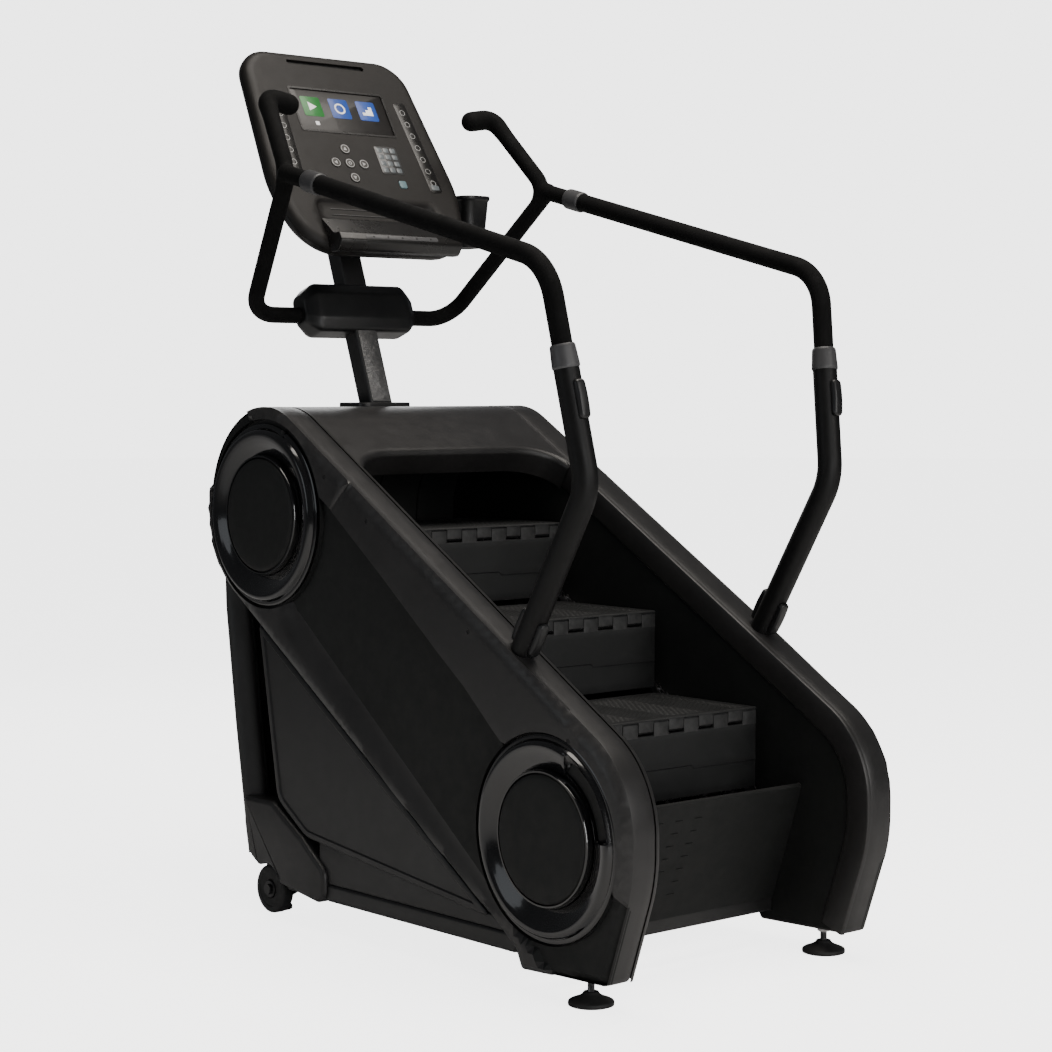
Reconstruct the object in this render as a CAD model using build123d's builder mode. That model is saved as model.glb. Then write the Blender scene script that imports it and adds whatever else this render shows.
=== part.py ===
"""Revolving-stair gym machine: frame, stair loop, side casings, hand rails, mast and console.

Millimetres. +X is the user's right, +Y the way the user faces, +Z up. The origin is on the floor,
under the middle of the machine's box. Left and right pieces are made by one loop over SIDES.
"""

from build123d import *
from math import atan2, cos, degrees, pi, radians, sin
import os

# ---- driving dimensions -------------------------------------------------------------------------
SIDES = (("left", -1), ("right", 1))

# side casing outline in the YZ plane, one corner radius per point
SIDE_OUTLINE = (
    (-765, 60), (-845, 285), (-845, 511), (418, 1267),
    (724, 1267), (724, 876), (-480, 96), (-500, 52),
)
SIDE_RADII = (12, 350, 240, 200, 248, 248, 20, 10)
LOWER_DISC = (-583, 348)
UPPER_DISC = (474, 1000)
CASING_INNER = 336.5
CASING_OUTER = 422
CASING_WALL = 6
CASING_EDGE = 9.6
DISC_HOLE = 211
# region of the outline that belongs to the upper casing, behind the band seam
UPPER_REGION = (
    (96, 1114), (186, 1024), (300, 850), (400, 773), (450, 640), (900, 640), (900, 1400), (96, 1400),
)
CENTRE_PANEL = ((300, 1106), (-410, 577), (-330, 300), (400, 773))
LOWER_PANEL = ((508, 726), (437, 298), (318, 221), (-392, 146))
SILL_PANEL = ((228, 208), (-395, 142), (-426, 126), (228, 126))

LINER_INNER = 332
LINER_THICKNESS = 4
PLATE_INNER = 340
PLATE_THICKNESS = 6
SHEET = 4

# stair loop
STEP_RUN = 344
STEP_RISE = 203
STEP_PITCH = (STEP_RUN**2 + STEP_RISE**2) ** 0.5
FIRST_NOSE = (-511, 562)
STEP_COUNT = 3
TREAD_HALF = 312
TREAD_DEPTH = 350
TREAD_THICKNESS = 32
RISER_HEIGHT = 190
RISER_THICKNESS = 16
NOSE_SETBACK = 16
NOSE_DROP = 20
KNUCKLE_R = 15
KNUCKLE_COUNT = 13
KNUCKLE_GAP = 1
PIN_R = 5
PIN_CLEARANCE = 0.06
AXLE_BACK = 300
AXLE_DROP = 25
AXLE_R = 8
HUB_R = 16

LINKS_PER_STEP = 13
TEETH = 20
LINK = STEP_PITCH / LINKS_PER_STEP
SPROCKET_R = LINK / (2 * sin(pi / TEETH))
CHAIN_X = 322.5
CHAIN_GAP = 5.6
CHAIN_PLATE = 2
CHAIN_HEIGHT = 20
CHAIN_WAIST = 12
TOP_U = 1215.2
LOOP_STEPS = 7
CENTRE_DISTANCE = (LOOP_STEPS * STEP_PITCH - TEETH * LINK) / 2
RUN_N = -26.3
STRAND_START = 240
STRAND_END = 1232
TOP_SHAFT_R = 20
BOTTOM_SHAFT_R = 17.5
SHAFT_HALF = 370
BEARING_CLEARANCE = 0.05

# drive
PULLEY_X = 250
PULLEY_WIDTH = 22
PULLEY_R = 56
ALTERNATOR_U = 863
ALTERNATOR_N = -135
ALTERNATOR_R = 62
ALTERNATOR_PULLEY_R = 24
BELT = 4
BELT_GAP = 0.4

# base
RAIL_X0 = 346
RAIL_WIDTH = 50
RAIL_Z0 = 76
RAIL_HEIGHT = 48
RAIL_WALL = 4
FOOT_X = 365.5
FOOT_Y = -675
REAR_FOOT = (325, 535)
WHEEL_CENTRE = (480, 68)
WHEEL_R = 60
WHEEL_X0 = 361
WHEEL_WIDTH = 37
WHEEL_AXLE_R = 8

# hand rails and handlebar, given on the right side
RAIL_CORE_R = 19
SLEEVE_R = 28.5
GRIP_R = 23
RAIL_BASE = (375, -377, 590)
RAIL_LOW_BEND = (380, -679, 1103)
RAIL_HIGH_BEND = (426, -601, 1583)
JUNCTION = (419, 362, 1832)
RAIL_BENDS = (110, 120)
BAR_BENDS = (75, 55, 30)
BAR_R = 24
TUBE_WALL = 3
BAR_START = (36, 660, 1501)
BAR_BEND = (322, 660, 1501)
HORN_BEND = (367, 529, 2036)
HORN_TIP = (296, 532, 2024)

# mast and console
MAST_FOOT = (550.6, 1236)
MAST_LEAN = 19.5
MAST_WIDTH = 70
MAST_DEPTH = 54
MAST_WALL = 4
MAST_LENGTH = 690
HOUSING_HALF = 177
CONSOLE_ORIGIN = (0, 541, 1696)
CONSOLE_LEAN = 30.3
CONSOLE_OUTLINE = ((-262, 572), (262, 572), (303, 150), (262, -52), (-262, -52), (-303, 150))
CONSOLE_RADII = (95, 95, 300, 140, 140, 300)
FACE_W = 31
KEY_R = 15
KEY_TRAVEL_GAP = 0.4
NAV_CENTRE = (-38, 217)
NAV_SPACING = 45

# ---- shared planes and sketches -----------------------------------------------------------------
RUN_ANGLE = degrees(atan2(STEP_RISE, STEP_RUN))
RUN_DIR = (0, cos(radians(RUN_ANGLE)), sin(radians(RUN_ANGLE)))
MAST = Plane(
    origin=(0, *MAST_FOOT),
    x_dir=(1, 0, 0),
    z_dir=(0, sin(radians(MAST_LEAN)), cos(radians(MAST_LEAN))),
)
CONSOLE = Plane(
    origin=CONSOLE_ORIGIN,
    x_dir=(1, 0, 0),
    z_dir=(0, -cos(radians(CONSOLE_LEAN)), sin(radians(CONSOLE_LEAN))),
)


def run_plane(x):
    """Plane across the machine at x: local x runs up the stair line, local y at right angles to it."""
    return Plane(origin=(x, *LOWER_DISC), x_dir=RUN_DIR, z_dir=(1, 0, 0))


def run_point(u, n):
    """The (y, z) of a point u up the stair line and n out from it."""
    c = RUN_DIR[1]
    s = RUN_DIR[2]
    return (LOWER_DISC[0] + u * c - n * s, LOWER_DISC[1] + u * s + n * c)


def side_outline(inset=0):
    """The casing outline as a face in the current sketch, pulled in by inset."""
    with BuildLine() as outline:
        FilletPolyline(*SIDE_OUTLINE, radius=SIDE_RADII, close=True)
        if inset:
            offset(amount=-inset, mode=Mode.REPLACE)
    make_face(outline.edges())


def region(points, mode=Mode.INTERSECT):
    """A polygon through points, combined with the current sketch."""
    with BuildLine() as outline:
        Polyline(*points, close=True)
    make_face(outline.edges(), mode=mode)


def tube(points, radii, outer, inner=0):
    """A round tube along straight runs joined by arcs, in the current part."""
    with BuildLine() as path:
        FilletPolyline(*points, radius=radii)
    with BuildSketch(Plane(origin=path.line @ 0, z_dir=path.line % 0)) as section:
        Circle(outer)
        if inner:
            Circle(inner, mode=Mode.SUBTRACT)
    sweep(section.sketch, path=path.line)


def on_side(points, sign):
    """The same points on the left or the right of the machine."""
    return [(sign * x, y, z) for x, y, z in points]


def between(a, b, distance):
    """The point at a distance from a on the way to b."""
    return Vector(*a) + (Vector(*b) - Vector(*a)).normalized() * distance


def save(piece, label):
    piece.part.label = label
    export_step(piece.part, f"parts/{label}.step")


os.makedirs("parts", exist_ok=True)

TOP_CENTRE = run_point(TOP_U, RUN_N - SPROCKET_R)
BOTTOM_U = TOP_U - CENTRE_DISTANCE
BOTTOM_CENTRE = run_point(BOTTOM_U, RUN_N - SPROCKET_R)
RETURN_N = RUN_N - 2 * SPROCKET_R
print("top shaft", TOP_CENTRE, "bottom shaft", BOTTOM_CENTRE, "link", LINK)

# ---- base frame ---------------------------------------------------------------------------------
CROSS_Y = (-540, -20, 360)
CROSS_WIDTH = 40
REAR_CROSS_Y = 515
BRACKET_THICKNESS = 7
STEM_R = 8
STEM_CLEARANCE = 0.3
RAIL_FRONT = -735
RAIL_BACK = 400

with BuildPart() as base_frame:
    for side, sign in SIDES:
        with BuildSketch(Plane.XZ.offset(-RAIL_FRONT)):
            with Locations((sign * (RAIL_X0 + RAIL_WIDTH / 2), RAIL_Z0 + RAIL_HEIGHT / 2)):
                RectangleRounded(RAIL_WIDTH, RAIL_HEIGHT, 10)
                RectangleRounded(
                    RAIL_WIDTH - 2 * RAIL_WALL, RAIL_HEIGHT - 2 * RAIL_WALL, 6, mode=Mode.SUBTRACT
                )
        extrude(amount=RAIL_FRONT - RAIL_BACK)
        with Locations((sign * FOOT_X, FOOT_Y, RAIL_Z0)):
            Cylinder(STEM_R + STEM_CLEARANCE, 4 * RAIL_WALL, mode=Mode.SUBTRACT)
    with BuildSketch(Plane.YZ.offset(-RAIL_X0)):
        with Locations((REAR_CROSS_Y + CROSS_WIDTH / 2, RAIL_Z0 + RAIL_HEIGHT / 2 + 4)):
            RectangleRounded(CROSS_WIDTH, CROSS_WIDTH, 5)
    extrude(amount=2 * RAIL_X0)
    for side, sign in SIDES:
        with BuildSketch(Plane.YZ.offset(sign * RAIL_X0)):
            with BuildLine():
                FilletPolyline(
                    (402, 124), (556, 124), (556, 84), (505, 48), (455, 48), (402, 76),
                    radius=6, close=True,
                )
            make_face()
            with Locations(WHEEL_CENTRE):
                Circle(WHEEL_AXLE_R, mode=Mode.SUBTRACT)
        extrude(amount=sign * BRACKET_THICKNESS)
        with Locations((sign * REAR_FOOT[0], REAR_FOOT[1], RAIL_Z0 + RAIL_HEIGHT / 2)):
            Cylinder(STEM_R + STEM_CLEARANCE, 2 * CROSS_WIDTH, mode=Mode.SUBTRACT)
save(base_frame, "base_frame")

# crossmembers on the floor, inside the stair loop and under the mast
BEAM = 44
BEAM_WALL = 4
LOOP_BEAMS = ((780, -175), (270, -125))
MAST_BEAM = (532.5, 1205)
MAST_BEAM_SIZE = (105, 42)
with BuildPart() as crossmembers:
    for y in CROSS_Y:
        with BuildSketch(Plane.YZ.offset(-RAIL_X0)):
            with Locations((y + CROSS_WIDTH / 2, RAIL_Z0 + RAIL_HEIGHT / 2)):
                RectangleRounded(CROSS_WIDTH, CROSS_WIDTH, 5)
                RectangleRounded(CROSS_WIDTH - 6, CROSS_WIDTH - 6, 3, mode=Mode.SUBTRACT)
        extrude(amount=2 * RAIL_X0)
    for beam in LOOP_BEAMS:
        with BuildSketch(run_plane(-PLATE_INNER)):
            with Locations(beam):
                RectangleRounded(BEAM, BEAM, 6)
                RectangleRounded(BEAM - 2 * BEAM_WALL, BEAM - 2 * BEAM_WALL, 3, mode=Mode.SUBTRACT)
        extrude(amount=2 * PLATE_INNER)
    with BuildSketch(Plane.YZ.offset(-PLATE_INNER)):
        with Locations(MAST_BEAM):
            RectangleRounded(*MAST_BEAM_SIZE, 6)
            RectangleRounded(
                MAST_BEAM_SIZE[0] - 2 * BEAM_WALL, MAST_BEAM_SIZE[1] - 2 * BEAM_WALL, 3,
                mode=Mode.SUBTRACT,
            )
    extrude(amount=2 * PLATE_INNER)
save(crossmembers, "crossmembers")

# ---- side plates, liners, bearings --------------------------------------------------------------
LIGHTENING = ((-640, 420, 60), (-60, 640, 70), (250, 890, 60), (300, 1090, 50))
PLATE_INSET = 26
LINER_INSET = 8
HOLE_GAP = 2
with BuildPart() as side_plates:
    for side, sign in SIDES:
        with BuildSketch(Plane.YZ.offset(sign * PLATE_INNER)):
            side_outline(PLATE_INSET)
            for y, z, r in LIGHTENING:
                with Locations((y, z)):
                    Circle(r, mode=Mode.SUBTRACT)
            with Locations(TOP_CENTRE, BOTTOM_CENTRE):
                Circle(TOP_SHAFT_R + 2 * HOLE_GAP, mode=Mode.SUBTRACT)
            for y in CROSS_Y:
                with Locations((y + CROSS_WIDTH / 2, RAIL_Z0 + RAIL_HEIGHT / 2)):
                    Rectangle(CROSS_WIDTH + HOLE_GAP, CROSS_WIDTH + HOLE_GAP, mode=Mode.SUBTRACT)
        extrude(amount=sign * PLATE_THICKNESS)
save(side_plates, "side_plates")

with BuildPart() as side_liners:
    for side, sign in SIDES:
        inner_face = sign * LINER_INNER
        with BuildSketch(Plane.YZ.offset(inner_face)):
            side_outline(LINER_INSET)
            with Locations(TOP_CENTRE, BOTTOM_CENTRE):
                Circle(TOP_SHAFT_R + 2 * HOLE_GAP, mode=Mode.SUBTRACT)
            with Locations(MAST_BEAM):
                Rectangle(
                    MAST_BEAM_SIZE[0] + HOLE_GAP, MAST_BEAM_SIZE[1] + HOLE_GAP, mode=Mode.SUBTRACT
                )
            for y in CROSS_Y:
                with Locations((y + CROSS_WIDTH / 2, RAIL_Z0 + RAIL_HEIGHT / 2)):
                    Rectangle(CROSS_WIDTH + HOLE_GAP, CROSS_WIDTH + HOLE_GAP, mode=Mode.SUBTRACT)
        extrude(amount=sign * LINER_THICKNESS)
        with BuildSketch(run_plane(inner_face)):
            with Locations(*LOOP_BEAMS):
                Rectangle(BEAM + HOLE_GAP, BEAM + HOLE_GAP)
        extrude(amount=sign * LINER_THICKNESS, mode=Mode.SUBTRACT)
save(side_liners, "side_liners")

FLANGE = 92
FLANGE_THICKNESS = 8
HOUSING_R = 36
HOUSING_LENGTH = 12
with BuildPart() as shaft_bearings:
    for centre, shaft_r in ((TOP_CENTRE, TOP_SHAFT_R), (BOTTOM_CENTRE, BOTTOM_SHAFT_R)):
        for side, sign in SIDES:
            outer_face = sign * (PLATE_INNER + PLATE_THICKNESS)
            with BuildSketch(Plane.YZ.offset(outer_face)):
                with Locations(centre):
                    RectangleRounded(FLANGE, FLANGE, 18)
                    Circle(shaft_r + BEARING_CLEARANCE, mode=Mode.SUBTRACT)
                    with GridLocations(FLANGE - 22, FLANGE - 22, 2, 2):
                        Circle(5, mode=Mode.SUBTRACT)
            extrude(amount=sign * FLANGE_THICKNESS)
            with BuildSketch(Plane.YZ.offset(outer_face + sign * FLANGE_THICKNESS)):
                with Locations(centre):
                    Circle(HOUSING_R)
                    Circle(shaft_r + BEARING_CLEARANCE, mode=Mode.SUBTRACT)
            extrude(amount=sign * HOUSING_LENGTH)
save(shaft_bearings, "shaft_bearings")

# ---- shafts, sprockets, drive -------------------------------------------------------------------
TOOTH_TIP = SPROCKET_R + 6
ROLLER_SEAT = 6.5
PIN_OF_CHAIN = 3.6
SPROCKET_WIDTH = 5
TOOTH_GAP = 11.05
WEB_HOLE_R = 17
WEB_HOLE_AT = 0.58 * SPROCKET_R
HALF_TURNS = {"top": 0.0, "bottom": CENTRE_DISTANCE / LINK % 1}
for end, centre, shaft_r in (("top", TOP_CENTRE, TOP_SHAFT_R), ("bottom", BOTTOM_CENTRE, BOTTOM_SHAFT_R)):
    first_seat = RUN_ANGLE + 90 + HALF_TURNS[end] * 360 / TEETH
    with BuildPart() as shaft:
        with BuildSketch(Plane.YZ.offset(-SHAFT_HALF)):
            with Locations(centre):
                Circle(shaft_r)
        extrude(amount=2 * SHAFT_HALF)
        chamfer(shaft.edges().filter_by(GeomType.CIRCLE), 1.5)
        for side, sign in SIDES:
            with BuildSketch(Plane.YZ.offset(sign * CHAIN_X - SPROCKET_WIDTH / 2)):
                with Locations(centre):
                    Circle(TOOTH_TIP)
                    with PolarLocations(SPROCKET_R, TEETH, start_angle=first_seat):
                        Circle(ROLLER_SEAT, mode=Mode.SUBTRACT)
                        with Locations((8, 0)):
                            Rectangle(16, TOOTH_GAP, mode=Mode.SUBTRACT)
                    with PolarLocations(WEB_HOLE_AT, 5, start_angle=first_seat):
                        Circle(WEB_HOLE_R, mode=Mode.SUBTRACT)
            extrude(amount=SPROCKET_WIDTH)
    save(shaft, f"{end}_shaft")

ALTERNATOR = run_point(ALTERNATOR_U, ALTERNATOR_N)
ALTERNATOR_X0 = 110
ALTERNATOR_LENGTH = 128
ROTOR_SHAFT_R = 9
with BuildPart() as drive_pulley:
    with BuildSketch(Plane.YZ.offset(PULLEY_X)):
        with Locations(TOP_CENTRE):
            Circle(PULLEY_R)
            Circle(TOP_SHAFT_R, mode=Mode.SUBTRACT)
    extrude(amount=PULLEY_WIDTH)
save(drive_pulley, "drive_pulley")

with BuildPart() as alternator_pulley:
    with BuildSketch(Plane.YZ.offset(PULLEY_X - 8)):
        with Locations(ALTERNATOR):
            Circle(ALTERNATOR_PULLEY_R)
    extrude(amount=PULLEY_WIDTH + 8)
    with BuildSketch(Plane.YZ.offset(PULLEY_X - 20)):
        with Locations(ALTERNATOR):
            Circle(ROTOR_SHAFT_R)
    extrude(amount=12)
save(alternator_pulley, "alternator_pulley")

with BuildPart() as alternator:
    with BuildSketch(Plane.YZ.offset(ALTERNATOR_X0)):
        with Locations(ALTERNATOR):
            Circle(ALTERNATOR_R)
    extrude(amount=ALTERNATOR_LENGTH)
    chamfer(alternator.edges().filter_by(GeomType.CIRCLE), 8)
    with BuildSketch(run_plane(140)):
        with Locations((ALTERNATOR_U - 40, ALTERNATOR_N - 40)):
            Rectangle(41, 36)
    extrude(amount=70)
    with BuildSketch(Plane.YZ.offset(PULLEY_X - 21)):
        with Locations(ALTERNATOR):
            Circle(ROTOR_SHAFT_R + BELT_GAP)
    extrude(amount=10, mode=Mode.SUBTRACT)
save(alternator, "alternator")

with BuildPart() as drive_belt:
    for grow, mode in ((BELT + BELT_GAP, Mode.ADD), (BELT_GAP, Mode.SUBTRACT)):
        with BuildSketch(run_plane(PULLEY_X + 2)):
            with Locations((TOP_U, RUN_N - SPROCKET_R)):
                Circle(PULLEY_R + grow)
            with Locations((ALTERNATOR_U, ALTERNATOR_N)):
                Circle(ALTERNATOR_PULLEY_R + grow)
            make_hull()
        extrude(amount=PULLEY_WIDTH - 4, mode=mode)
save(drive_belt, "drive_belt")

# ---- chains -------------------------------------------------------------------------------------
link_count = int((STRAND_END - STRAND_START) / LINK)
for label, n in (("upper_chains", RUN_N), ("return_chains", RETURN_N)):
    with BuildPart() as chains:
        for side, sign in SIDES:
            for gap in (-CHAIN_GAP - CHAIN_PLATE, CHAIN_GAP):
                with BuildSketch(run_plane(sign * CHAIN_X + gap)):
                    with Locations(((STRAND_START + STRAND_END) / 2, n)):
                        Rectangle(STRAND_END - STRAND_START, CHAIN_WAIST)
                    for i in range(link_count + 1):
                        with Locations((TOP_U - i * LINK, n)):
                            Circle(CHAIN_HEIGHT / 2)
                extrude(amount=CHAIN_PLATE)
            with BuildSketch(run_plane(sign * CHAIN_X - CHAIN_GAP)):
                for i in range(link_count + 1):
                    with Locations((TOP_U - i * LINK, n)):
                        Circle(PIN_OF_CHAIN)
            extrude(amount=2 * CHAIN_GAP)
    save(chains, label)

# ---- steps --------------------------------------------------------------------------------------
knuckle = 2 * TREAD_HALF / KNUCKLE_COUNT
TREAD_KNUCKLES = range(1, KNUCKLE_COUNT, 2)
RISER_KNUCKLES = range(0, KNUCKLE_COUNT, 2)
RELIEF_R = 17.6
# bevel under the tread's front rib, clear of the riser's back when it is folded right up
FOLD_RELIEF = ((12, -5), (15.7, -6.7), (24.9, -12), (24.9, -13), (12, -13))
PLATE_TOP = -17


def knuckle_start(i):
    return -TREAD_HALF + i * knuckle + KNUCKLE_GAP / 2


for step in range(STEP_COUNT):
    nose_y = FIRST_NOSE[0] + step * STEP_RUN
    nose_z = FIRST_NOSE[1] + step * STEP_RISE
    hinge = (nose_y + NOSE_SETBACK, nose_z - NOSE_DROP)
    axle = (nose_y + AXLE_BACK, nose_z - AXLE_DROP)
    number = step + 1

    with BuildPart() as tread:
        with BuildSketch(Plane.YZ.offset(-TREAD_HALF)):
            with Locations((nose_y + TREAD_DEPTH / 2, nose_z - TREAD_THICKNESS / 2)):
                Rectangle(TREAD_DEPTH, TREAD_THICKNESS)
            with Locations(hinge):
                Circle(RELIEF_R, mode=Mode.SUBTRACT)
                with Locations((-NOSE_SETBACK / 2, -NOSE_SETBACK)):
                    Rectangle(NOSE_SETBACK, 2 * NOSE_SETBACK, mode=Mode.SUBTRACT)
            with Locations(axle):
                Circle(HUB_R)
            region([(hinge[0] + y, hinge[1] + z) for y, z in FOLD_RELIEF], Mode.SUBTRACT)
        extrude(amount=2 * TREAD_HALF)
        for i in TREAD_KNUCKLES:
            with BuildSketch(Plane.YZ.offset(knuckle_start(i))):
                with Locations(hinge):
                    Circle(KNUCKLE_R)
                    with Locations((1, 11)):
                        Rectangle(34, 17)
            extrude(amount=knuckle - KNUCKLE_GAP)
        with Locations((0, nose_y + 150, nose_z - TREAD_THICKNESS + 10)):
            Box(2 * TREAD_HALF - 32, 220, 20, mode=Mode.SUBTRACT)
        with BuildSketch(Plane.YZ.offset(-TREAD_HALF)):
            with Locations(hinge):
                Circle(PIN_R + PIN_CLEARANCE)
            with Locations(axle):
                Circle(AXLE_R + PIN_CLEARANCE)
        extrude(amount=2 * TREAD_HALF, mode=Mode.SUBTRACT)
    save(tread, f"tread_{number}")

    with BuildPart() as riser:
        with BuildSketch(Plane.YZ.offset(-TREAD_HALF + 2)):
            with BuildLine():
                Polyline(
                    (hinge[0] - KNUCKLE_R, hinge[1] + PLATE_TOP),
                    (hinge[0] - KNUCKLE_R + RISER_THICKNESS, hinge[1] + PLATE_TOP),
                    (hinge[0] - KNUCKLE_R + RISER_THICKNESS, nose_z - RISER_HEIGHT),
                    (hinge[0] - KNUCKLE_R, nose_z - RISER_HEIGHT),
                    close=True,
                )
            make_face()
        extrude(amount=2 * (TREAD_HALF - 2))
        for i in RISER_KNUCKLES:
            with BuildSketch(Plane.YZ.offset(knuckle_start(i))):
                with Locations(hinge):
                    Circle(KNUCKLE_R)
                    with Locations((-KNUCKLE_R + RISER_THICKNESS / 2, PLATE_TOP / 2)):
                        Rectangle(RISER_THICKNESS, -PLATE_TOP)
                    Circle(PIN_R + PIN_CLEARANCE, mode=Mode.SUBTRACT)
            extrude(amount=knuckle - KNUCKLE_GAP)
    save(riser, f"riser_{number}")

hinges = [
    (FIRST_NOSE[0] + i * STEP_RUN + NOSE_SETBACK, FIRST_NOSE[1] + i * STEP_RISE - NOSE_DROP)
    for i in range(STEP_COUNT)
]
axles = [
    (FIRST_NOSE[0] + i * STEP_RUN + AXLE_BACK, FIRST_NOSE[1] + i * STEP_RISE - AXLE_DROP)
    for i in range(STEP_COUNT)
]
with BuildPart() as step_pins:
    with BuildSketch(Plane.YZ.offset(-TREAD_HALF + 3)):
        with Locations(*hinges):
            Circle(PIN_R)
    extrude(amount=2 * TREAD_HALF - 6)
    with BuildSketch(Plane.YZ.offset(-TREAD_HALF - 2)):
        with Locations(*axles):
            Circle(AXLE_R)
    extrude(amount=2 * TREAD_HALF + 4)
save(step_pins, "step_pins")

# two folded steps on the return side: the tread against the chain, its riser folded under it
RETURN_START = 232
RETURN_STEPS = (RETURN_START, RETURN_START + STEP_PITCH)
RETURN_TREAD = (344, 26)
RETURN_LUG = (24, 18)
RETURN_RISER_LENGTH = 180
with BuildPart() as return_steps:
    for u in RETURN_STEPS:
        with BuildSketch(run_plane(-TREAD_HALF)):
            with Locations((u + 172, RETURN_N - 29)):
                Rectangle(*RETURN_TREAD)
            with Locations((u + 300, RETURN_N - 8)):
                Rectangle(*RETURN_LUG)
        extrude(amount=2 * TREAD_HALF)
        with BuildSketch(run_plane(-TREAD_HALF + 2)):
            with Locations((u + 100, RETURN_N - 50)):
                Rectangle(RETURN_RISER_LENGTH, RISER_THICKNESS)
        extrude(amount=2 * TREAD_HALF - 4)
save(return_steps, "return_steps")

# ---- side casings -------------------------------------------------------------------------------
SCREWS = ((384, 1206), (210, 1101), (44, 1003), (-331, 773), (-664, 566))
SCREW_R = 5.5
SCREW_GAP = 0.5
RAIL_BOX = (RAIL_X0 + RAIL_WIDTH / 2, RAIL_Z0 + RAIL_HEIGHT / 2)
rail_direction = Vector(*RAIL_LOW_BEND) - Vector(*RAIL_BASE)
for label, mode in (("front_casings", Mode.SUBTRACT), ("upper_casings", Mode.INTERSECT)):
    with BuildPart() as casings:
        for side, sign in SIDES:
            with BuildSketch(Plane.YZ.offset(sign * CASING_INNER)):
                side_outline()
                region(UPPER_REGION, mode)
            extrude(amount=sign * (CASING_OUTER - CASING_INNER))
            edge_face = casings.faces().sort_by(Axis.X)[-1 if sign > 0 else 0]
            chamfer(edge_face.edges().filter_by(lambda e: e.length > 60), CASING_EDGE)
            with BuildSketch(Plane.YZ.offset(sign * CASING_INNER)):
                side_outline(CASING_WALL)
            extrude(
                amount=sign * (CASING_OUTER - CASING_WALL - CASING_INNER), mode=Mode.SUBTRACT
            )
            with BuildSketch(Plane.YZ.offset(sign * CASING_INNER)):
                region(CENTRE_PANEL, Mode.ADD)
                with Locations(LOWER_DISC, UPPER_DISC):
                    Circle(DISC_HOLE)
                with Locations(*SCREWS):
                    Circle(SCREW_R + SCREW_GAP)
            extrude(amount=sign * (CASING_OUTER - CASING_INNER + 1), mode=Mode.SUBTRACT)
            if label == "front_casings":
                with BuildSketch(Plane.XZ.offset(520)):
                    with Locations((sign * RAIL_BOX[0], RAIL_BOX[1])):
                        Rectangle(RAIL_WIDTH + HOLE_GAP, RAIL_HEIGHT + HOLE_GAP)
                extrude(amount=-100, mode=Mode.SUBTRACT)
                with BuildSketch(Plane.XY.offset(30)):
                    with Locations((sign * FOOT_X, FOOT_Y)):
                        Circle(3 * STEM_R)
                extrude(amount=45, mode=Mode.SUBTRACT)
                start = Vector(sign * RAIL_BASE[0], *RAIL_BASE[1:])
                heading = Vector(sign * rail_direction.X, rail_direction.Y, rail_direction.Z)
                with BuildSketch(Plane(origin=start, z_dir=heading)):
                    Circle(SLEEVE_R + HOLE_GAP)
                extrude(amount=360, mode=Mode.SUBTRACT)
    save(casings, label)

with BuildPart() as casing_screws:
    for side, sign in SIDES:
        with BuildSketch(Plane.YZ.offset(sign * (CASING_OUTER - CASING_WALL))):
            with Locations(*SCREWS):
                Circle(SCREW_R)
        extrude(amount=sign * (CASING_WALL - 1))
save(casing_screws, "casing_screws")

PANEL_X = 404
PANEL_THICKNESS = 6
LOWER_PANEL_X = 398
with BuildPart() as side_panels:
    for side, sign in SIDES:
        with BuildSketch(Plane.YZ.offset(sign * PANEL_X)):
            region(CENTRE_PANEL, Mode.ADD)
            with Locations(LOWER_DISC, UPPER_DISC):
                Circle(DISC_HOLE + 13, mode=Mode.SUBTRACT)
        extrude(amount=sign * PANEL_THICKNESS)
        with BuildSketch(Plane.YZ.offset(sign * LOWER_PANEL_X)):
            region(LOWER_PANEL, Mode.ADD)
            region(SILL_PANEL, Mode.ADD)
        extrude(amount=sign * PANEL_THICKNESS)
save(side_panels, "side_panels")

# ring and cap profiles as (radius, distance from the middle of the machine)
RING_PROFILE = (
    (147, 404), (147, 414), (160, 427), (203, 430), (209.5, 424), (209.5, 415.5), (223, 415.5),
    (223, 411), (205, 411), (205, 422), (200, 426), (161, 423), (151, 413), (151, 404),
)
CAP_PROFILE = ((0, 425), (0, 433), (132, 431.5), (143, 425), (143, 410), (138, 410), (138, 423))
for label, profile in (("disc_rings", RING_PROFILE), ("disc_caps", CAP_PROFILE)):
    with BuildPart() as discs:
        for side, sign in SIDES:
            for centre in (LOWER_DISC, UPPER_DISC):
                hub = Plane(origin=(0, *centre), x_dir=(0, 1, 0), z_dir=(0, 0, sign))
                with BuildSketch(hub):
                    with BuildLine():
                        Polyline(*[(r, -x) for r, x in profile], close=True)
                    make_face()
                revolve(axis=Axis((0, *centre), (1, 0, 0)))
    save(discs, label)

# ---- hood, kick plate and rear cover ------------------------------------------------------------
HOOD_HALF = 336
HOOD_WALL = 5
HOOD_REGION = (
    (232, 1100), (232, 1400), (900, 1400), (900, 866), (640, 866), (640, 1010), (560, 1120),
    (400, 1160),
)
WELL_HALF = 331.5
with BuildPart() as rear_hood:
    with BuildSketch(Plane.YZ.offset(-HOOD_HALF)):
        side_outline()
        with BuildLine() as inner_skin:
            FilletPolyline(*SIDE_OUTLINE, radius=SIDE_RADII, close=True)
            offset(amount=-HOOD_WALL, mode=Mode.REPLACE)
        make_face(inner_skin.edges(), mode=Mode.SUBTRACT)
        region(HOOD_REGION)
    extrude(amount=2 * HOOD_HALF)
    with BuildSketch(MAST):
        Rectangle(MAST_WIDTH + HOLE_GAP, MAST_DEPTH + HOLE_GAP)
    extrude(amount=80, mode=Mode.SUBTRACT)
save(rear_hood, "rear_hood")

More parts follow.
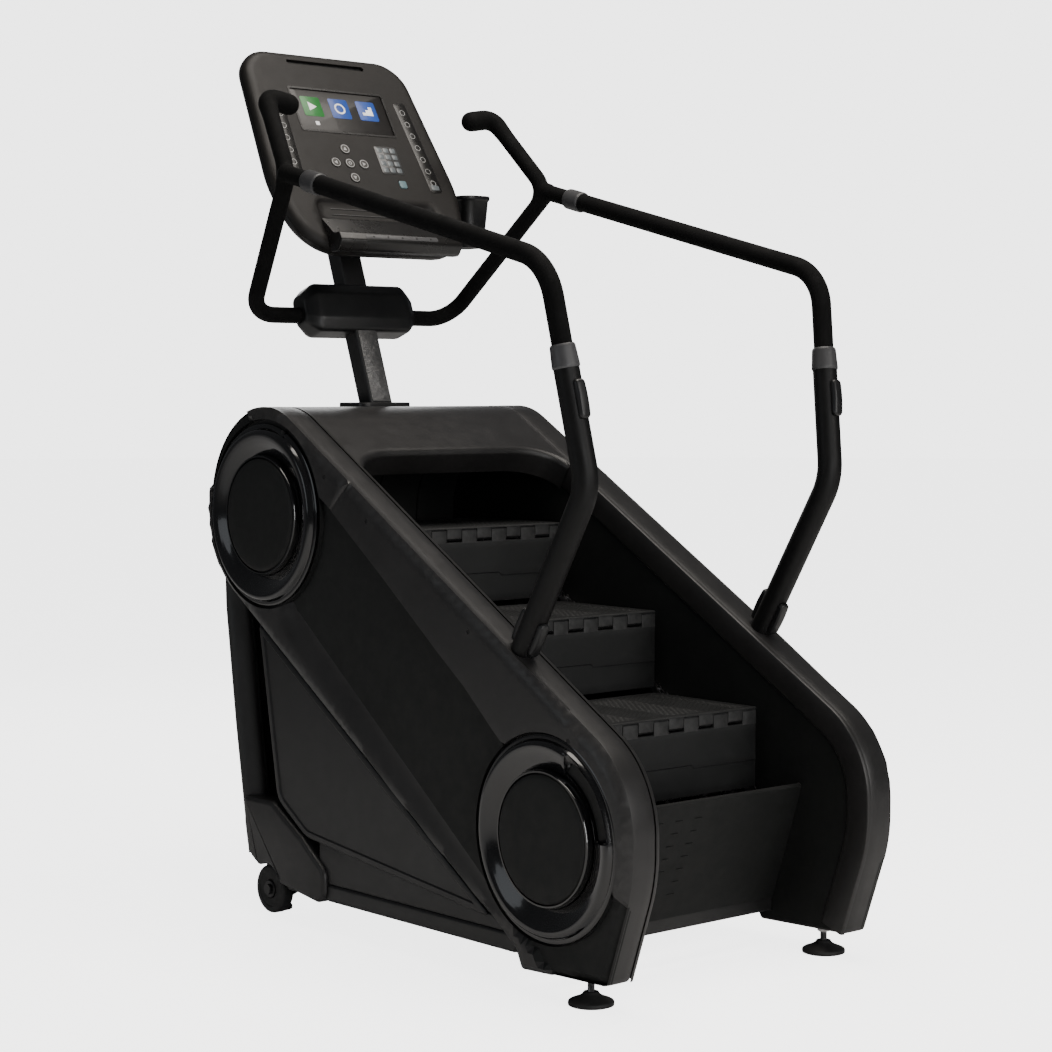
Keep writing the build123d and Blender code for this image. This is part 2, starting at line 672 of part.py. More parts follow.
with BuildPart() as hood_liner:
    with BuildSketch(Plane.YZ.offset(-WELL_HALF)):
        with BuildLine() as well:
            FilletPolyline((240, 1146), (420, 1178), (655, 1178), (655, 830), radius=(60, 195))
        trace(well.edges(), line_width=SHEET)
    extrude(amount=2 * WELL_HALF)
save(hood_liner, "hood_liner")

KICK_HALF = 318
KICK_ROLL_R = 8
with BuildPart() as kick_plate:
    with BuildSketch(Plane.YZ.offset(-KICK_HALF)):
        with BuildLine() as kick:
            Line((-558, 118), (-648, 386))
        trace(kick.edges(), line_width=SHEET)
        with Locations((-643, 389)):
            Circle(KICK_ROLL_R)
    extrude(amount=2 * KICK_HALF)
save(kick_plate, "kick_plate")

with BuildPart() as rear_cover:
    with BuildSketch(Plane.YZ.offset(-WELL_HALF)):
        with BuildLine() as back:
            Polyline((706, 858), (690, 765), (600, 330), (566, 150))
        trace(back.edges(), line_width=SHEET)
    extrude(amount=2 * WELL_HALF)
save(rear_cover, "rear_cover")

COLUMN_X = 352
COLUMN_WIDTH = 40
COLUMN = (
    (700, 850), (674, 641), (612, 285), (590, 140), (520, 140), (536, 285), (596, 641), (622, 850),
)
with BuildPart() as rear_columns:
    for side, sign in SIDES:
        with BuildSketch(Plane.YZ.offset(sign * COLUMN_X)):
            region(COLUMN, Mode.ADD)
            with BuildLine() as clearance:
                FilletPolyline(*SIDE_OUTLINE, radius=SIDE_RADII, close=True)
                offset(amount=1, mode=Mode.REPLACE)
            make_face(clearance.edges(), mode=Mode.SUBTRACT)
        extrude(amount=sign * COLUMN_WIDTH)
    fillet(rear_columns.edges().filter_by(Axis.X, reverse=True).filter_by(lambda e: e.length > 100), 12)
save(rear_columns, "rear_columns")

COVER_X = 353.5
COVER_WIDTH = 58
COVER_OUTLINE = (
    (573, 285), (500, 132), (262, 72), (232, 90), (236, 150), (330, 216), (440, 286),
)
with BuildPart() as foot_covers:
    for side, sign in SIDES:
        with BuildSketch(Plane.YZ.offset(sign * COVER_X)):
            region(COVER_OUTLINE, Mode.ADD)
        extrude(amount=sign * COVER_WIDTH)
        with BuildSketch(Plane.YZ.offset(sign * COVER_X)):
            with BuildLine() as inner_cover:
                Polyline(*COVER_OUTLINE, close=True)
                offset(amount=-4, mode=Mode.REPLACE)
            make_face(inner_cover.edges())
        extrude(amount=sign * (COVER_WIDTH - 4), mode=Mode.SUBTRACT)
        with BuildSketch(Plane.YZ.offset(sign * COVER_X)):
            with Locations(WHEEL_CENTRE):
                Circle(WHEEL_R + 6)
        extrude(amount=sign * COVER_WIDTH, mode=Mode.SUBTRACT)
        with BuildSketch(Plane.YZ.offset(sign * COVER_X)):
            region(COLUMN, Mode.ADD)
            with Locations((RAIL_BACK - 118, RAIL_BOX[1])):
                Rectangle(240, RAIL_HEIGHT + HOLE_GAP)
        extrude(amount=sign * (COLUMN_WIDTH + 4), mode=Mode.SUBTRACT)
save(foot_covers, "foot_covers")

# ---- wheels and feet ----------------------------------------------------------------------------
for side, sign in SIDES:
    with BuildPart() as wheel:
        with BuildSketch(Plane.YZ.offset(sign * WHEEL_X0)):
            with Locations(WHEEL_CENTRE):
                Circle(WHEEL_R)
        extrude(amount=sign * WHEEL_WIDTH)
        chamfer(wheel.edges().filter_by(GeomType.CIRCLE), 5)
        with BuildSketch(Plane.YZ.offset(sign * WHEEL_X0)):
            with Locations(WHEEL_CENTRE):
                Circle(WHEEL_AXLE_R + PIN_CLEARANCE)
        extrude(amount=sign * WHEEL_WIDTH, mode=Mode.SUBTRACT)
    save(wheel, f"wheel_{side}")

with BuildPart() as wheel_axles:
    for side, sign in SIDES:
        with BuildSketch(Plane.YZ.offset(sign * RAIL_X0)):
            with Locations(WHEEL_CENTRE):
                Circle(WHEEL_AXLE_R)
        extrude(amount=sign * (WHEEL_X0 + WHEEL_WIDTH + 2 - RAIL_X0))
        with BuildSketch(Plane.YZ.offset(sign * (WHEEL_X0 + WHEEL_WIDTH + 2))):
            with Locations(WHEEL_CENTRE):
                Circle(WHEEL_AXLE_R + 5)
        extrude(amount=sign * 5)
save(wheel_axles, "wheel_axles")

NUT_Z = 50
NUT_R = 13.6
NUT_HEIGHT = 10
for place, centre_x, centre_y, pad_r, stem_top in (
    ("front", FOOT_X, FOOT_Y, 50, 92),
    ("rear", REAR_FOOT[0], REAR_FOOT[1], 30, 104),
):
    for side, sign in SIDES:
        with BuildPart() as foot:
            with BuildSketch(Plane.XZ):
                with BuildLine():
                    Polyline(
                        (0, 0), (pad_r - 4, 0), (pad_r, 5), (pad_r, 12), (0.6 * pad_r, 23),
                        (2 * STEM_R, 28), (STEM_R, 28), (STEM_R, stem_top), (0, stem_top),
                        close=True,
                    )
                make_face()
            revolve(axis=Axis.Z)
            with BuildSketch(Plane.XY.offset(NUT_Z)):
                RegularPolygon(NUT_R, 6)
            extrude(amount=NUT_HEIGHT)
        foot.part.position = (sign * centre_x, centre_y, 0)
        save(foot, f"{place}_foot_{side}")

# ---- mast, crossbar housing and its cover -------------------------------------------------------
with BuildPart() as mast:
    with BuildSketch(MAST):
        RectangleRounded(MAST_WIDTH, MAST_DEPTH, 6)
        RectangleRounded(MAST_WIDTH - 2 * MAST_WALL, MAST_DEPTH - 2 * MAST_WALL, 3, mode=Mode.SUBTRACT)
    extrude(amount=MAST_LENGTH)
save(mast, "mast")

with BuildPart() as mast_cover:
    with BuildSketch(Plane.XY.offset(1200)):
        with Locations((0, 556)):
            RectangleRounded(172, 140, 24)
    extrude(amount=78)
    with BuildSketch(Plane.YZ.offset(-HOOD_HALF)):
        side_outline()
    extrude(amount=2 * HOOD_HALF, mode=Mode.SUBTRACT)
    with BuildSketch(MAST):
        Rectangle(MAST_WIDTH + HOLE_GAP, MAST_DEPTH + HOLE_GAP)
    extrude(amount=120, mode=Mode.SUBTRACT)
save(mast_cover, "mast_cover")

HOUSING_AT = 296
HOUSING_SIZE = (2 * HOUSING_HALF, 100, 133)
with BuildPart() as crossbar_housing:
    with BuildSketch(MAST.offset(HOUSING_AT - HOUSING_SIZE[2] / 2)):
        with Locations((0, 8)):
            RectangleRounded(HOUSING_SIZE[0], HOUSING_SIZE[1], 34)
    extrude(amount=HOUSING_SIZE[2])
    ends = crossbar_housing.faces().sort_by(Axis.Z)
    chamfer(ends[0].edges() + ends[-1].edges(), 22)
    with BuildSketch(MAST.offset(HOUSING_AT - HOUSING_SIZE[2] / 2 + 4)):
        with Locations((0, 8)):
            RectangleRounded(HOUSING_SIZE[0] - 8, HOUSING_SIZE[1] - 44, 20)
    extrude(amount=HOUSING_SIZE[2] - 8, mode=Mode.SUBTRACT)
    with BuildSketch(MAST):
        Rectangle(MAST_WIDTH + HOLE_GAP, MAST_DEPTH + HOLE_GAP)
    extrude(amount=MAST_LENGTH, mode=Mode.SUBTRACT)
    with BuildSketch(Plane.YZ.offset(-HOUSING_HALF - 40)):
        with Locations(BAR_START[1:]):
            Circle(BAR_R + SCREW_GAP)
    extrude(amount=2 * HOUSING_HALF + 80, mode=Mode.SUBTRACT)
save(crossbar_housing, "crossbar_housing")

# ---- handlebar and hand rails -------------------------------------------------------------------
with BuildPart() as handlebar:
    for side, sign in SIDES:
        tube(
            on_side((BAR_START, BAR_BEND, JUNCTION, HORN_BEND, HORN_TIP), sign),
            BAR_BENDS, BAR_R, BAR_R - TUBE_WALL,
        )
        with Locations(on_side((HORN_TIP,), sign)):
            Sphere(BAR_R)
save(handlebar, "handlebar")

LOW_COLLAR_AT = 282
LOW_COLLAR_LENGTH = 58
TOP_COLLAR_AT = 880
TOP_COLLAR_LENGTH = 50
RAIL_TO_JUNCTION = 26
GRIP_TO_TOP_COLLAR = 26
GRIP_TO_LOW_COLLAR = 2
low_collar = between(RAIL_LOW_BEND, RAIL_HIGH_BEND, LOW_COLLAR_AT)
top_collar = between(RAIL_HIGH_BEND, JUNCTION, TOP_COLLAR_AT)
rail_end = between(JUNCTION, RAIL_HIGH_BEND, RAIL_TO_JUNCTION)
with BuildPart() as hand_rails:
    for side, sign in SIDES:
        tube(
            on_side((RAIL_BASE, RAIL_LOW_BEND, RAIL_HIGH_BEND, rail_end), sign),
            RAIL_BENDS, RAIL_CORE_R, RAIL_CORE_R - TUBE_WALL,
        )
save(hand_rails, "hand_rails")

with BuildPart() as rail_sleeves:
    for side, sign in SIDES:
        tube(
            on_side((RAIL_BASE, RAIL_LOW_BEND, low_collar), sign), RAIL_BENDS[:1], SLEEVE_R,
            SLEEVE_R - TUBE_WALL,
        )
save(rail_sleeves, "rail_sleeves")

grip_start = between(low_collar, RAIL_HIGH_BEND, GRIP_TO_LOW_COLLAR)
grip_end = between(top_collar, RAIL_HIGH_BEND, GRIP_TO_TOP_COLLAR)
with BuildPart() as rail_grips:
    for side, sign in SIDES:
        tube(
            on_side((grip_start, RAIL_HIGH_BEND, grip_end), sign), RAIL_BENDS[1:], GRIP_R,
            RAIL_CORE_R + SCREW_GAP,
        )
save(rail_grips, "rail_grips")

with BuildPart() as rail_collars:
    for side, sign in SIDES:
        for centre, ahead, length, outer, inner in (
            (low_collar, RAIL_HIGH_BEND, LOW_COLLAR_LENGTH, SLEEVE_R + 3, SLEEVE_R + SCREW_GAP),
            (top_collar, JUNCTION, TOP_COLLAR_LENGTH, GRIP_R + 4, RAIL_CORE_R + SCREW_GAP),
        ):
            start = between(centre, ahead, -length / 2)
            heading = Vector(*ahead) - Vector(*centre)
            with BuildSketch(
                Plane(
                    origin=(sign * start.X, start.Y, start.Z),
                    z_dir=(sign * heading.X, heading.Y, heading.Z),
                )
            ):
                Circle(outer)
                Circle(inner, mode=Mode.SUBTRACT)
            extrude(amount=length)
save(rail_collars, "rail_collars")

PAD_SIZE = (26, 13, 84)
LOW_PAD_AT = 222
HIGH_PAD_AT = 186
low_pad = between(RAIL_BASE, RAIL_LOW_BEND, LOW_PAD_AT)
high_pad = between(RAIL_LOW_BEND, RAIL_HIGH_BEND, HIGH_PAD_AT)
with BuildPart() as rail_clamps:
    for side, sign in SIDES:
        for centre, ahead, faces in (
            (low_pad, RAIL_LOW_BEND, (-1, 1)),
            (high_pad, RAIL_HIGH_BEND, (1,)),
        ):
            heading = Vector(*ahead) - Vector(*centre)
            along = Plane(
                origin=(sign * centre.X, centre.Y, centre.Z),
                x_dir=(1, 0, -sign * heading.X / heading.Z),
                z_dir=(sign * heading.X, heading.Y, heading.Z),
            )
            for face in faces:
                with BuildSketch(along.offset(-PAD_SIZE[2] / 2)):
                    with Locations((0, face * (SLEEVE_R + PAD_SIZE[1] / 2))):
                        RectangleRounded(PAD_SIZE[0], PAD_SIZE[1], 5)
                    Circle(SLEEVE_R + SCREW_GAP, mode=Mode.SUBTRACT)
                extrude(amount=PAD_SIZE[2])
save(rail_clamps, "rail_clamps")

# ---- console ------------------------------------------------------------------------------------
CONSOLE_SECTION = Plane(origin=CONSOLE_ORIGIN, x_dir=CONSOLE.y_dir, z_dir=(1, 0, 0))
BACK_W = -20
SPLIT_W = 8
DISPLAY = (0, 383, 298, 130)
SLOT = (0, 535, 252, 14)
LIP_HALF = 196
LIP_PROFILE = ((46, 30), (-26, 60), (-32, 80), (-58, 80), (-74, 52), (-60, 26), (0, 26))
NAV_KEYS = {
    "nav_key_select": NAV_CENTRE,
    "nav_key_up": (NAV_CENTRE[0], NAV_CENTRE[1] + NAV_SPACING),
    "nav_key_down": (NAV_CENTRE[0], NAV_CENTRE[1] - NAV_SPACING),
    "nav_key_left": (NAV_CENTRE[0] - NAV_SPACING, NAV_CENTRE[1]),
    "nav_key_right": (NAV_CENTRE[0] + NAV_SPACING, NAV_CENTRE[1]),
}
STOP_KEY = (115, 160)
STOP_KEY_SIZE = 24
KEYPAD = (98, 236, 72, 88)
STRIPS = ((-213, 285), (213, 285))
STRIP_SIZE = (40, 290)
STRIP_TILT = 4
MEMBRANE = 1.2
KEY_BACK_W = 20
KEY_FRONT_W = 33.5
SHELL = 4
BEZEL_SKIN = 6
BACK_BULGES = ((235, 40, 300, 40), (75, 150, 330, 125))


def console_outline(inset=0):
    with BuildLine() as outline:
        FilletPolyline(*CONSOLE_OUTLINE, radius=CONSOLE_RADII, close=True)
        if inset:
            offset(amount=-inset, mode=Mode.REPLACE)
    make_face(outline.edges())


with BuildPart() as console_back:
    with BuildSketch(CONSOLE.offset(BACK_W)):
        console_outline()
    extrude(amount=SPLIT_W - 0.5 - BACK_W)
    chamfer(console_back.faces().sort_by(Axis((0, 0, 0), CONSOLE.z_dir))[0].edges(), 10)
    for half, low, high, depth in BACK_BULGES:
        with BuildSketch(CONSOLE.offset(BACK_W - depth)):
            with Locations((0, (low + high) / 2)):
                RectangleRounded(2 * half, high - low, 24)
        extrude(amount=depth)
    with BuildSketch(CONSOLE.offset(BACK_W + SHELL)):
        console_outline(3 * SHELL)
    extrude(amount=SPLIT_W - BACK_W, mode=Mode.SUBTRACT)
    for half, low, high, depth in BACK_BULGES:
        with BuildSketch(CONSOLE.offset(BACK_W - depth + SHELL)):
            with Locations((0, (low + high) / 2)):
                RectangleRounded(2 * (half - SHELL), high - low - 2 * SHELL, 20)
        extrude(amount=depth, mode=Mode.SUBTRACT)
    with BuildSketch(MAST):
        Rectangle(MAST_WIDTH + HOLE_GAP, MAST_DEPTH + HOLE_GAP)
    extrude(amount=MAST_LENGTH + 2, mode=Mode.SUBTRACT)
save(console_back, "console_back")

with BuildPart() as console_bezel:
    with BuildSketch(CONSOLE.offset(SPLIT_W)):
        console_outline()
    extrude(amount=FACE_W - SPLIT_W)
    with BuildSketch(CONSOLE.offset(SPLIT_W)):
        console_outline(3 * SHELL)
    extrude(amount=FACE_W - SPLIT_W - BEZEL_SKIN, mode=Mode.SUBTRACT)
    chamfer(console_bezel.faces().sort_by(Axis((0, 0, 0), CONSOLE.z_dir))[-1].edges(), 10)
    with BuildSketch(CONSOLE_SECTION.offset(-LIP_HALF)):
        with BuildLine():
            Polyline(*LIP_PROFILE, close=True)
        make_face()
    extrude(amount=2 * LIP_HALF)
    with BuildSketch(CONSOLE.offset(SPLIT_W)):
        with Locations(DISPLAY[:2]):
            Rectangle(*DISPLAY[2:])
        with Locations(*NAV_KEYS.values()):
            Circle(KEY_R + KEY_TRAVEL_GAP)
        with Locations(STOP_KEY):
            Rectangle(STOP_KEY_SIZE + 2 * KEY_TRAVEL_GAP, STOP_KEY_SIZE + 2 * KEY_TRAVEL_GAP)
    extrude(amount=FACE_W, mode=Mode.SUBTRACT)
    with BuildSketch(CONSOLE.offset(FACE_W - 8)):
        with Locations(SLOT[:2]):
            RectangleRounded(SLOT[2], SLOT[3], 6)
    extrude(amount=FACE_W, mode=Mode.SUBTRACT)
save(console_bezel, "console_bezel")

with BuildPart() as display:
    with BuildSketch(CONSOLE.offset(SPLIT_W + 6)):
        with Locations(DISPLAY[:2]):
            Rectangle(DISPLAY[2] - 1, DISPLAY[3] - 1)
    extrude(amount=FACE_W - SPLIT_W - 7)
save(display, "display")

with BuildPart() as key_membranes:
    with BuildSketch(CONSOLE.offset(FACE_W)):
        with Locations(KEYPAD[:2]):
            RectangleRounded(KEYPAD[2], KEYPAD[3], 5)
        for u, v in STRIPS:
            with Locations(Location((u, v), -STRIP_TILT * (1 if u < 0 else -1))):
                RectangleRounded(*STRIP_SIZE, 8)
    extrude(amount=MEMBRANE)
save(key_membranes, "key_membranes")

for label, place in NAV_KEYS.items():
    with BuildPart() as key:
        with BuildSketch(CONSOLE.offset(KEY_BACK_W)):
            with Locations(place):
                Circle(KEY_R)
        extrude(amount=KEY_FRONT_W - KEY_BACK_W)
        chamfer(key.edges().filter_by(GeomType.CIRCLE), 1)
    save(key, label)

with BuildPart() as stop_key:
    with BuildSketch(CONSOLE.offset(KEY_BACK_W)):
        with Locations(STOP_KEY):
            RectangleRounded(STOP_KEY_SIZE, STOP_KEY_SIZE, 5)
    extrude(amount=KEY_FRONT_W - KEY_BACK_W)
save(stop_key, "stop_key")

# ---- bottle holder on the user's right ----------------------------------------------------------
HOLDER_MIDDLE = (353, 622)
HOLDER_BOTTOM = 1692
HOLDER_TOP = 1832
HOLDER_SIZE = (94, 124)
HOLDER_WALL = 4
HOLDER_TAPER = 0.74
HOLDER_WELL = 0.6
HOLDER_RIM = 10
with BuildPart() as bottle_holder:
    for shrink, floor, mode in ((0, 0, Mode.ADD), (2 * HOLDER_WALL, HOLDER_WALL, Mode.SUBTRACT)):
        with BuildSketch(Plane.XY.offset(HOLDER_BOTTOM + floor)):
            with Locations(HOLDER_MIDDLE):
                RectangleRounded(
                    HOLDER_SIZE[0] * HOLDER_TAPER - shrink, HOLDER_SIZE[1] * HOLDER_TAPER - shrink, 20
                )
        with BuildSketch(Plane.XY.offset(HOLDER_TOP)):
            with Locations(HOLDER_MIDDLE):
                RectangleRounded(HOLDER_SIZE[0] - 6 - shrink, HOLDER_SIZE[1] - 6 - shrink, 26)
        loft(mode=mode)
    with BuildSketch(Plane.XY.offset(HOLDER_TOP - HOLDER_RIM)):
        with Locations(HOLDER_MIDDLE):
            RectangleRounded(*HOLDER_SIZE, 28)
            RectangleRounded(HOLDER_SIZE[0] - 14, HOLDER_SIZE[1] - 14, 22, mode=Mode.SUBTRACT)
    extrude(amount=HOLDER_RIM)
    with Locations((HOLDER_MIDDLE[0] - 72, 626, 1760)):
        Box(84, 26, 30)
    with BuildSketch(Plane.XY.offset(HOLDER_BOTTOM + HOLDER_WALL)):
        with Locations(HOLDER_MIDDLE):
            RectangleRounded(HOLDER_SIZE[0] * HOLDER_WELL, HOLDER_SIZE[1] * HOLDER_WELL, 16)
    extrude(amount=HOLDER_TOP - HOLDER_BOTTOM, mode=Mode.SUBTRACT)
save(bottle_holder, "bottle_holder")
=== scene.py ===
"""Looks of the stair climber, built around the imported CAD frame. Lengths in the tables are millimetres."""

from math import ceil, cos, hypot, pi, radians, sin

import bmesh
import bpy
import numpy as np
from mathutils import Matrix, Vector, geometry


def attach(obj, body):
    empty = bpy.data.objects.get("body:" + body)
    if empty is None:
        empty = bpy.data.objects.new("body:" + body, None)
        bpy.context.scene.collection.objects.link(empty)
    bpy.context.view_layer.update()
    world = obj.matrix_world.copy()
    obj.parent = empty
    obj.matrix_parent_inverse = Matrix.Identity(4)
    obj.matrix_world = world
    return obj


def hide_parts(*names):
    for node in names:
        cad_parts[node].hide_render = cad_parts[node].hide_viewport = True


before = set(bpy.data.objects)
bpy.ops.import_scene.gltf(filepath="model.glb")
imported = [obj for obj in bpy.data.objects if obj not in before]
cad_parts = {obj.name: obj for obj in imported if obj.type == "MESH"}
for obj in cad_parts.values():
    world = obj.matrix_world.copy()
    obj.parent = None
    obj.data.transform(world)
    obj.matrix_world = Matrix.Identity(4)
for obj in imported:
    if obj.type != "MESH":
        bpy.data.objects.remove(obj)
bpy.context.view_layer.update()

MM = 0.001
SIDES = (("left", -1), ("right", 1))

# ---- camera, lights and floor ---------------------------------------------------------------------
CAMERA_AT = (-3.7628, -4.4128, 1.3112)
CAMERA_TILT = 88.405
CAMERA_TURN = -40.694
CAMERA_LENS = 81.68
CAMERA_SHIFT = -0.0672
SURROUND = 4.5
AMBIENT = 0.09
FLOOR_GLOW = 3.4


def add_camera():
    data = bpy.data.cameras.new("camera")
    data.lens = CAMERA_LENS
    data.sensor_width = 36
    data.shift_y = CAMERA_SHIFT
    camera = bpy.data.objects.new("camera", data)
    camera.location = CAMERA_AT
    camera.rotation_euler = (radians(CAMERA_TILT), 0, radians(CAMERA_TURN))
    bpy.context.scene.collection.objects.link(camera)
    bpy.context.scene.camera = camera


def add_light(name, place, target, size, power, colour=(1, 1, 1)):
    data = bpy.data.lights.new(name, "AREA")
    data.shape = "RECTANGLE"
    data.size, data.size_y = size
    data.energy = power
    data.color = colour
    light = bpy.data.objects.new(name, data)
    light.location = place
    light.rotation_euler = (Vector(target) - Vector(place)).to_track_quat("-Z", "Y").to_euler()
    bpy.context.scene.collection.objects.link(light)


def add_studio():
    """A white surround for the camera that lights the object less than it shows, and soft lights."""
    world = bpy.data.worlds.new("studio")
    bpy.context.scene.world = world
    world.use_nodes = True
    nodes = world.node_tree.nodes
    links = world.node_tree.links
    nodes.clear()
    output = nodes.new("ShaderNodeOutputWorld")
    mix = nodes.new("ShaderNodeMixShader")
    ambient = nodes.new("ShaderNodeBackground")
    ambient.inputs["Color"].default_value = (0.93, 0.96, 1, 1)
    ambient.inputs["Strength"].default_value = AMBIENT
    seen = nodes.new("ShaderNodeBackground")
    seen.inputs["Strength"].default_value = SURROUND
    path = nodes.new("ShaderNodeLightPath")
    links.new(path.outputs["Is Camera Ray"], mix.inputs[0])
    links.new(ambient.outputs[0], mix.inputs[1])
    links.new(seen.outputs[0], mix.inputs[2])
    links.new(mix.outputs[0], output.inputs[0])
    add_light("overhead", (0.2, -0.6, 4.6), (0, 0, 0.9), (3.0, 3.0), 165, (1, 0.94, 0.87))
    add_light("front", (1.2, -5.0, 2.2), (0, -0.3, 0.8), (1.4, 2.4), 62, (1, 0.97, 0.94))
    add_light("left", (-4.6, 0.6, 2.2), (0, 0, 0.8), (2.2, 2.4), 17, (0.9, 0.95, 1))
    add_light("front_left", (-1.6, -5.2, 1.5), (-0.4, -0.8, 0.6), (0.6, 2.6), 70)
    add_light("behind", (1.8, 4.2, 3.0), (0, 0.4, 1.1), (2.4, 2.0), 50)


def add_floor():
    rings = [0, 2, 6, 14, 40]
    steps = 48
    vertices = [(0, 0, 0)]
    faces = []
    for ring in rings[1:]:
        vertices += [
            (ring * cos(2 * pi * k / steps), ring * sin(2 * pi * k / steps), 0) for k in range(steps)
        ]
    faces += [(0, 1 + k, 1 + (k + 1) % steps) for k in range(steps)]
    for i in range(len(rings) - 2):
        a = 1 + i * steps
        b = a + steps
        faces += [(a + k, b + k, b + (k + 1) % steps, a + (k + 1) % steps) for k in range(steps)]
    mesh = bpy.data.meshes.new("floor")
    mesh.from_pydata(vertices, [], faces)
    floor = bpy.data.objects.new("floor", mesh)
    bpy.context.scene.collection.objects.link(floor)
    material = bpy.data.materials.new("pale_floor")
    material.use_nodes = True
    shader = material.node_tree.nodes["Principled BSDF"]
    shader.inputs["Base Color"].default_value = (0.9, 0.9, 0.9, 1)
    shader.inputs["Roughness"].default_value = 0.75
    links = material.node_tree.links
    lit = material.node_tree.nodes.new("ShaderNodeEmission")
    lit.inputs["Strength"].default_value = FLOOR_GLOW
    share = material.node_tree.nodes.new("ShaderNodeLightPath")
    both = material.node_tree.nodes.new("ShaderNodeAddShader")
    glow = material.node_tree.nodes.new("ShaderNodeMixShader")
    links.new(share.outputs["Is Camera Ray"], glow.inputs[0])
    links.new(lit.outputs[0], glow.inputs[2])
    links.new(shader.outputs[0], both.inputs[0])
    links.new(glow.outputs[0], both.inputs[1])
    links.new(both.outputs[0], material.node_tree.nodes["Material Output"].inputs[0])
    mesh.materials.append(material)


# ---- materials --------------------------------------------------------------------------------------
class Look:
    """A principled material with its own colour variation, roughness variation, grain and worn edges."""

    def __init__(self, name, colour, rough, metallic=0.0, coat=0.0, specular=0.5):
        self.material = bpy.data.materials.new(name)
        self.material.use_nodes = True
        self.nodes = self.material.node_tree.nodes
        self.links = self.material.node_tree.links
        self.shader = self.nodes["Principled BSDF"]
        self.shader.inputs["Metallic"].default_value = metallic
        self.shader.inputs["Coat Weight"].default_value = coat
        self.shader.inputs["Specular IOR Level"].default_value = specular
        self.place = self.nodes.new("ShaderNodeTexCoord").outputs["Object"]
        self.height = None
        self.colour_from(colour)
        self.rough_from(rough)

    def node(self, kind, **inputs):
        made = self.nodes.new(kind)
        for key, value in inputs.items():
            made.inputs[key.replace("_", " ")].default_value = value
        return made

    def noise(self, scale, detail=2.0, roughness=0.5, stretch=None):
        noise = self.node("ShaderNodeTexNoise", Scale=scale, Detail=detail, Roughness=roughness)
        source = self.place
        if stretch:
            mapping = self.node("ShaderNodeMapping", Scale=stretch)
            self.links.new(source, mapping.inputs["Vector"])
            source = mapping.outputs["Vector"]
        self.links.new(source, noise.inputs["Vector"])
        return noise.outputs["Fac"]

    def spread(self, value, low, high):
        ramp = self.node("ShaderNodeMapRange")
        ramp.inputs["From Min"].default_value = 0.25
        ramp.inputs["From Max"].default_value = 0.75
        ramp.inputs["To Min"].default_value = low
        ramp.inputs["To Max"].default_value = high
        self.links.new(value, ramp.inputs["Value"])
        return ramp.outputs["Result"]

    def mix(self, factor, first, second):
        mix = self.nodes.new("ShaderNodeMix")
        mix.data_type = "RGBA"
        for socket, value in ((mix.inputs["A"], first), (mix.inputs["B"], second)):
            if isinstance(value, tuple):
                socket.default_value = (*value, 1)
            else:
                self.links.new(value, socket)
        self.links.new(factor, mix.inputs["Factor"])
        return mix.outputs["Result"]

    def colour_from(self, colour):
        darker = tuple(c * 0.78 for c in colour)
        lighter = tuple(c * 1.25 for c in colour)
        self.colour = self.mix(self.spread(self.noise(5.5, 4), 0, 1), darker, lighter)
        self.links.new(self.colour, self.shader.inputs["Base Color"])

    def rough_from(self, rough):
        value = self.spread(self.noise(24, 4, 0.6), rough * 0.88, min(1, rough * 1.14))
        self.links.new(value, self.shader.inputs["Roughness"])

    def worn(self, colour, amount=0.5):
        """Rubbed lighter along convex edges, broken up by noise."""
        edge = self.nodes.new("ShaderNodeNewGeometry").outputs["Pointiness"]
        ramp = self.node("ShaderNodeMapRange")
        ramp.inputs["From Min"].default_value = 0.52
        ramp.inputs["From Max"].default_value = 0.62
        ramp.inputs["To Max"].default_value = amount
        self.links.new(edge, ramp.inputs["Value"])
        broken = self.nodes.new("ShaderNodeMath")
        broken.operation = "MULTIPLY"
        self.links.new(ramp.outputs["Result"], broken.inputs[0])
        self.links.new(self.spread(self.noise(60, 3), 0.2, 1), broken.inputs[1])
        self.colour = self.mix(broken.outputs["Value"], self.colour, colour)
        self.links.new(self.colour, self.shader.inputs["Base Color"])
        return self

    def bump(self, height, distance, strength=1.0):
        bump = self.node("ShaderNodeBump", Strength=strength, Distance=distance)
        self.links.new(height, bump.inputs["Height"])
        if self.height:
            self.links.new(self.height, bump.inputs["Normal"])
        self.height = bump.outputs["Normal"]
        self.links.new(self.height, self.shader.inputs["Normal"])
        return self

    def grain(self, scale=900, distance=0.00012, strength=0.5):
        """The fine leather-like spark texture of moulded plastic or powder coat."""
        cells = self.node("ShaderNodeTexVoronoi", Scale=scale)
        self.links.new(self.place, cells.inputs["Vector"])
        self.bump(cells.outputs["Distance"], distance, strength)
        return self

    def bump_lines(self):
        """Fine turning marks."""
        return self.bump(self.noise(40, 2, 0.5, (40, 1, 1)), 0.00005, 0.6)


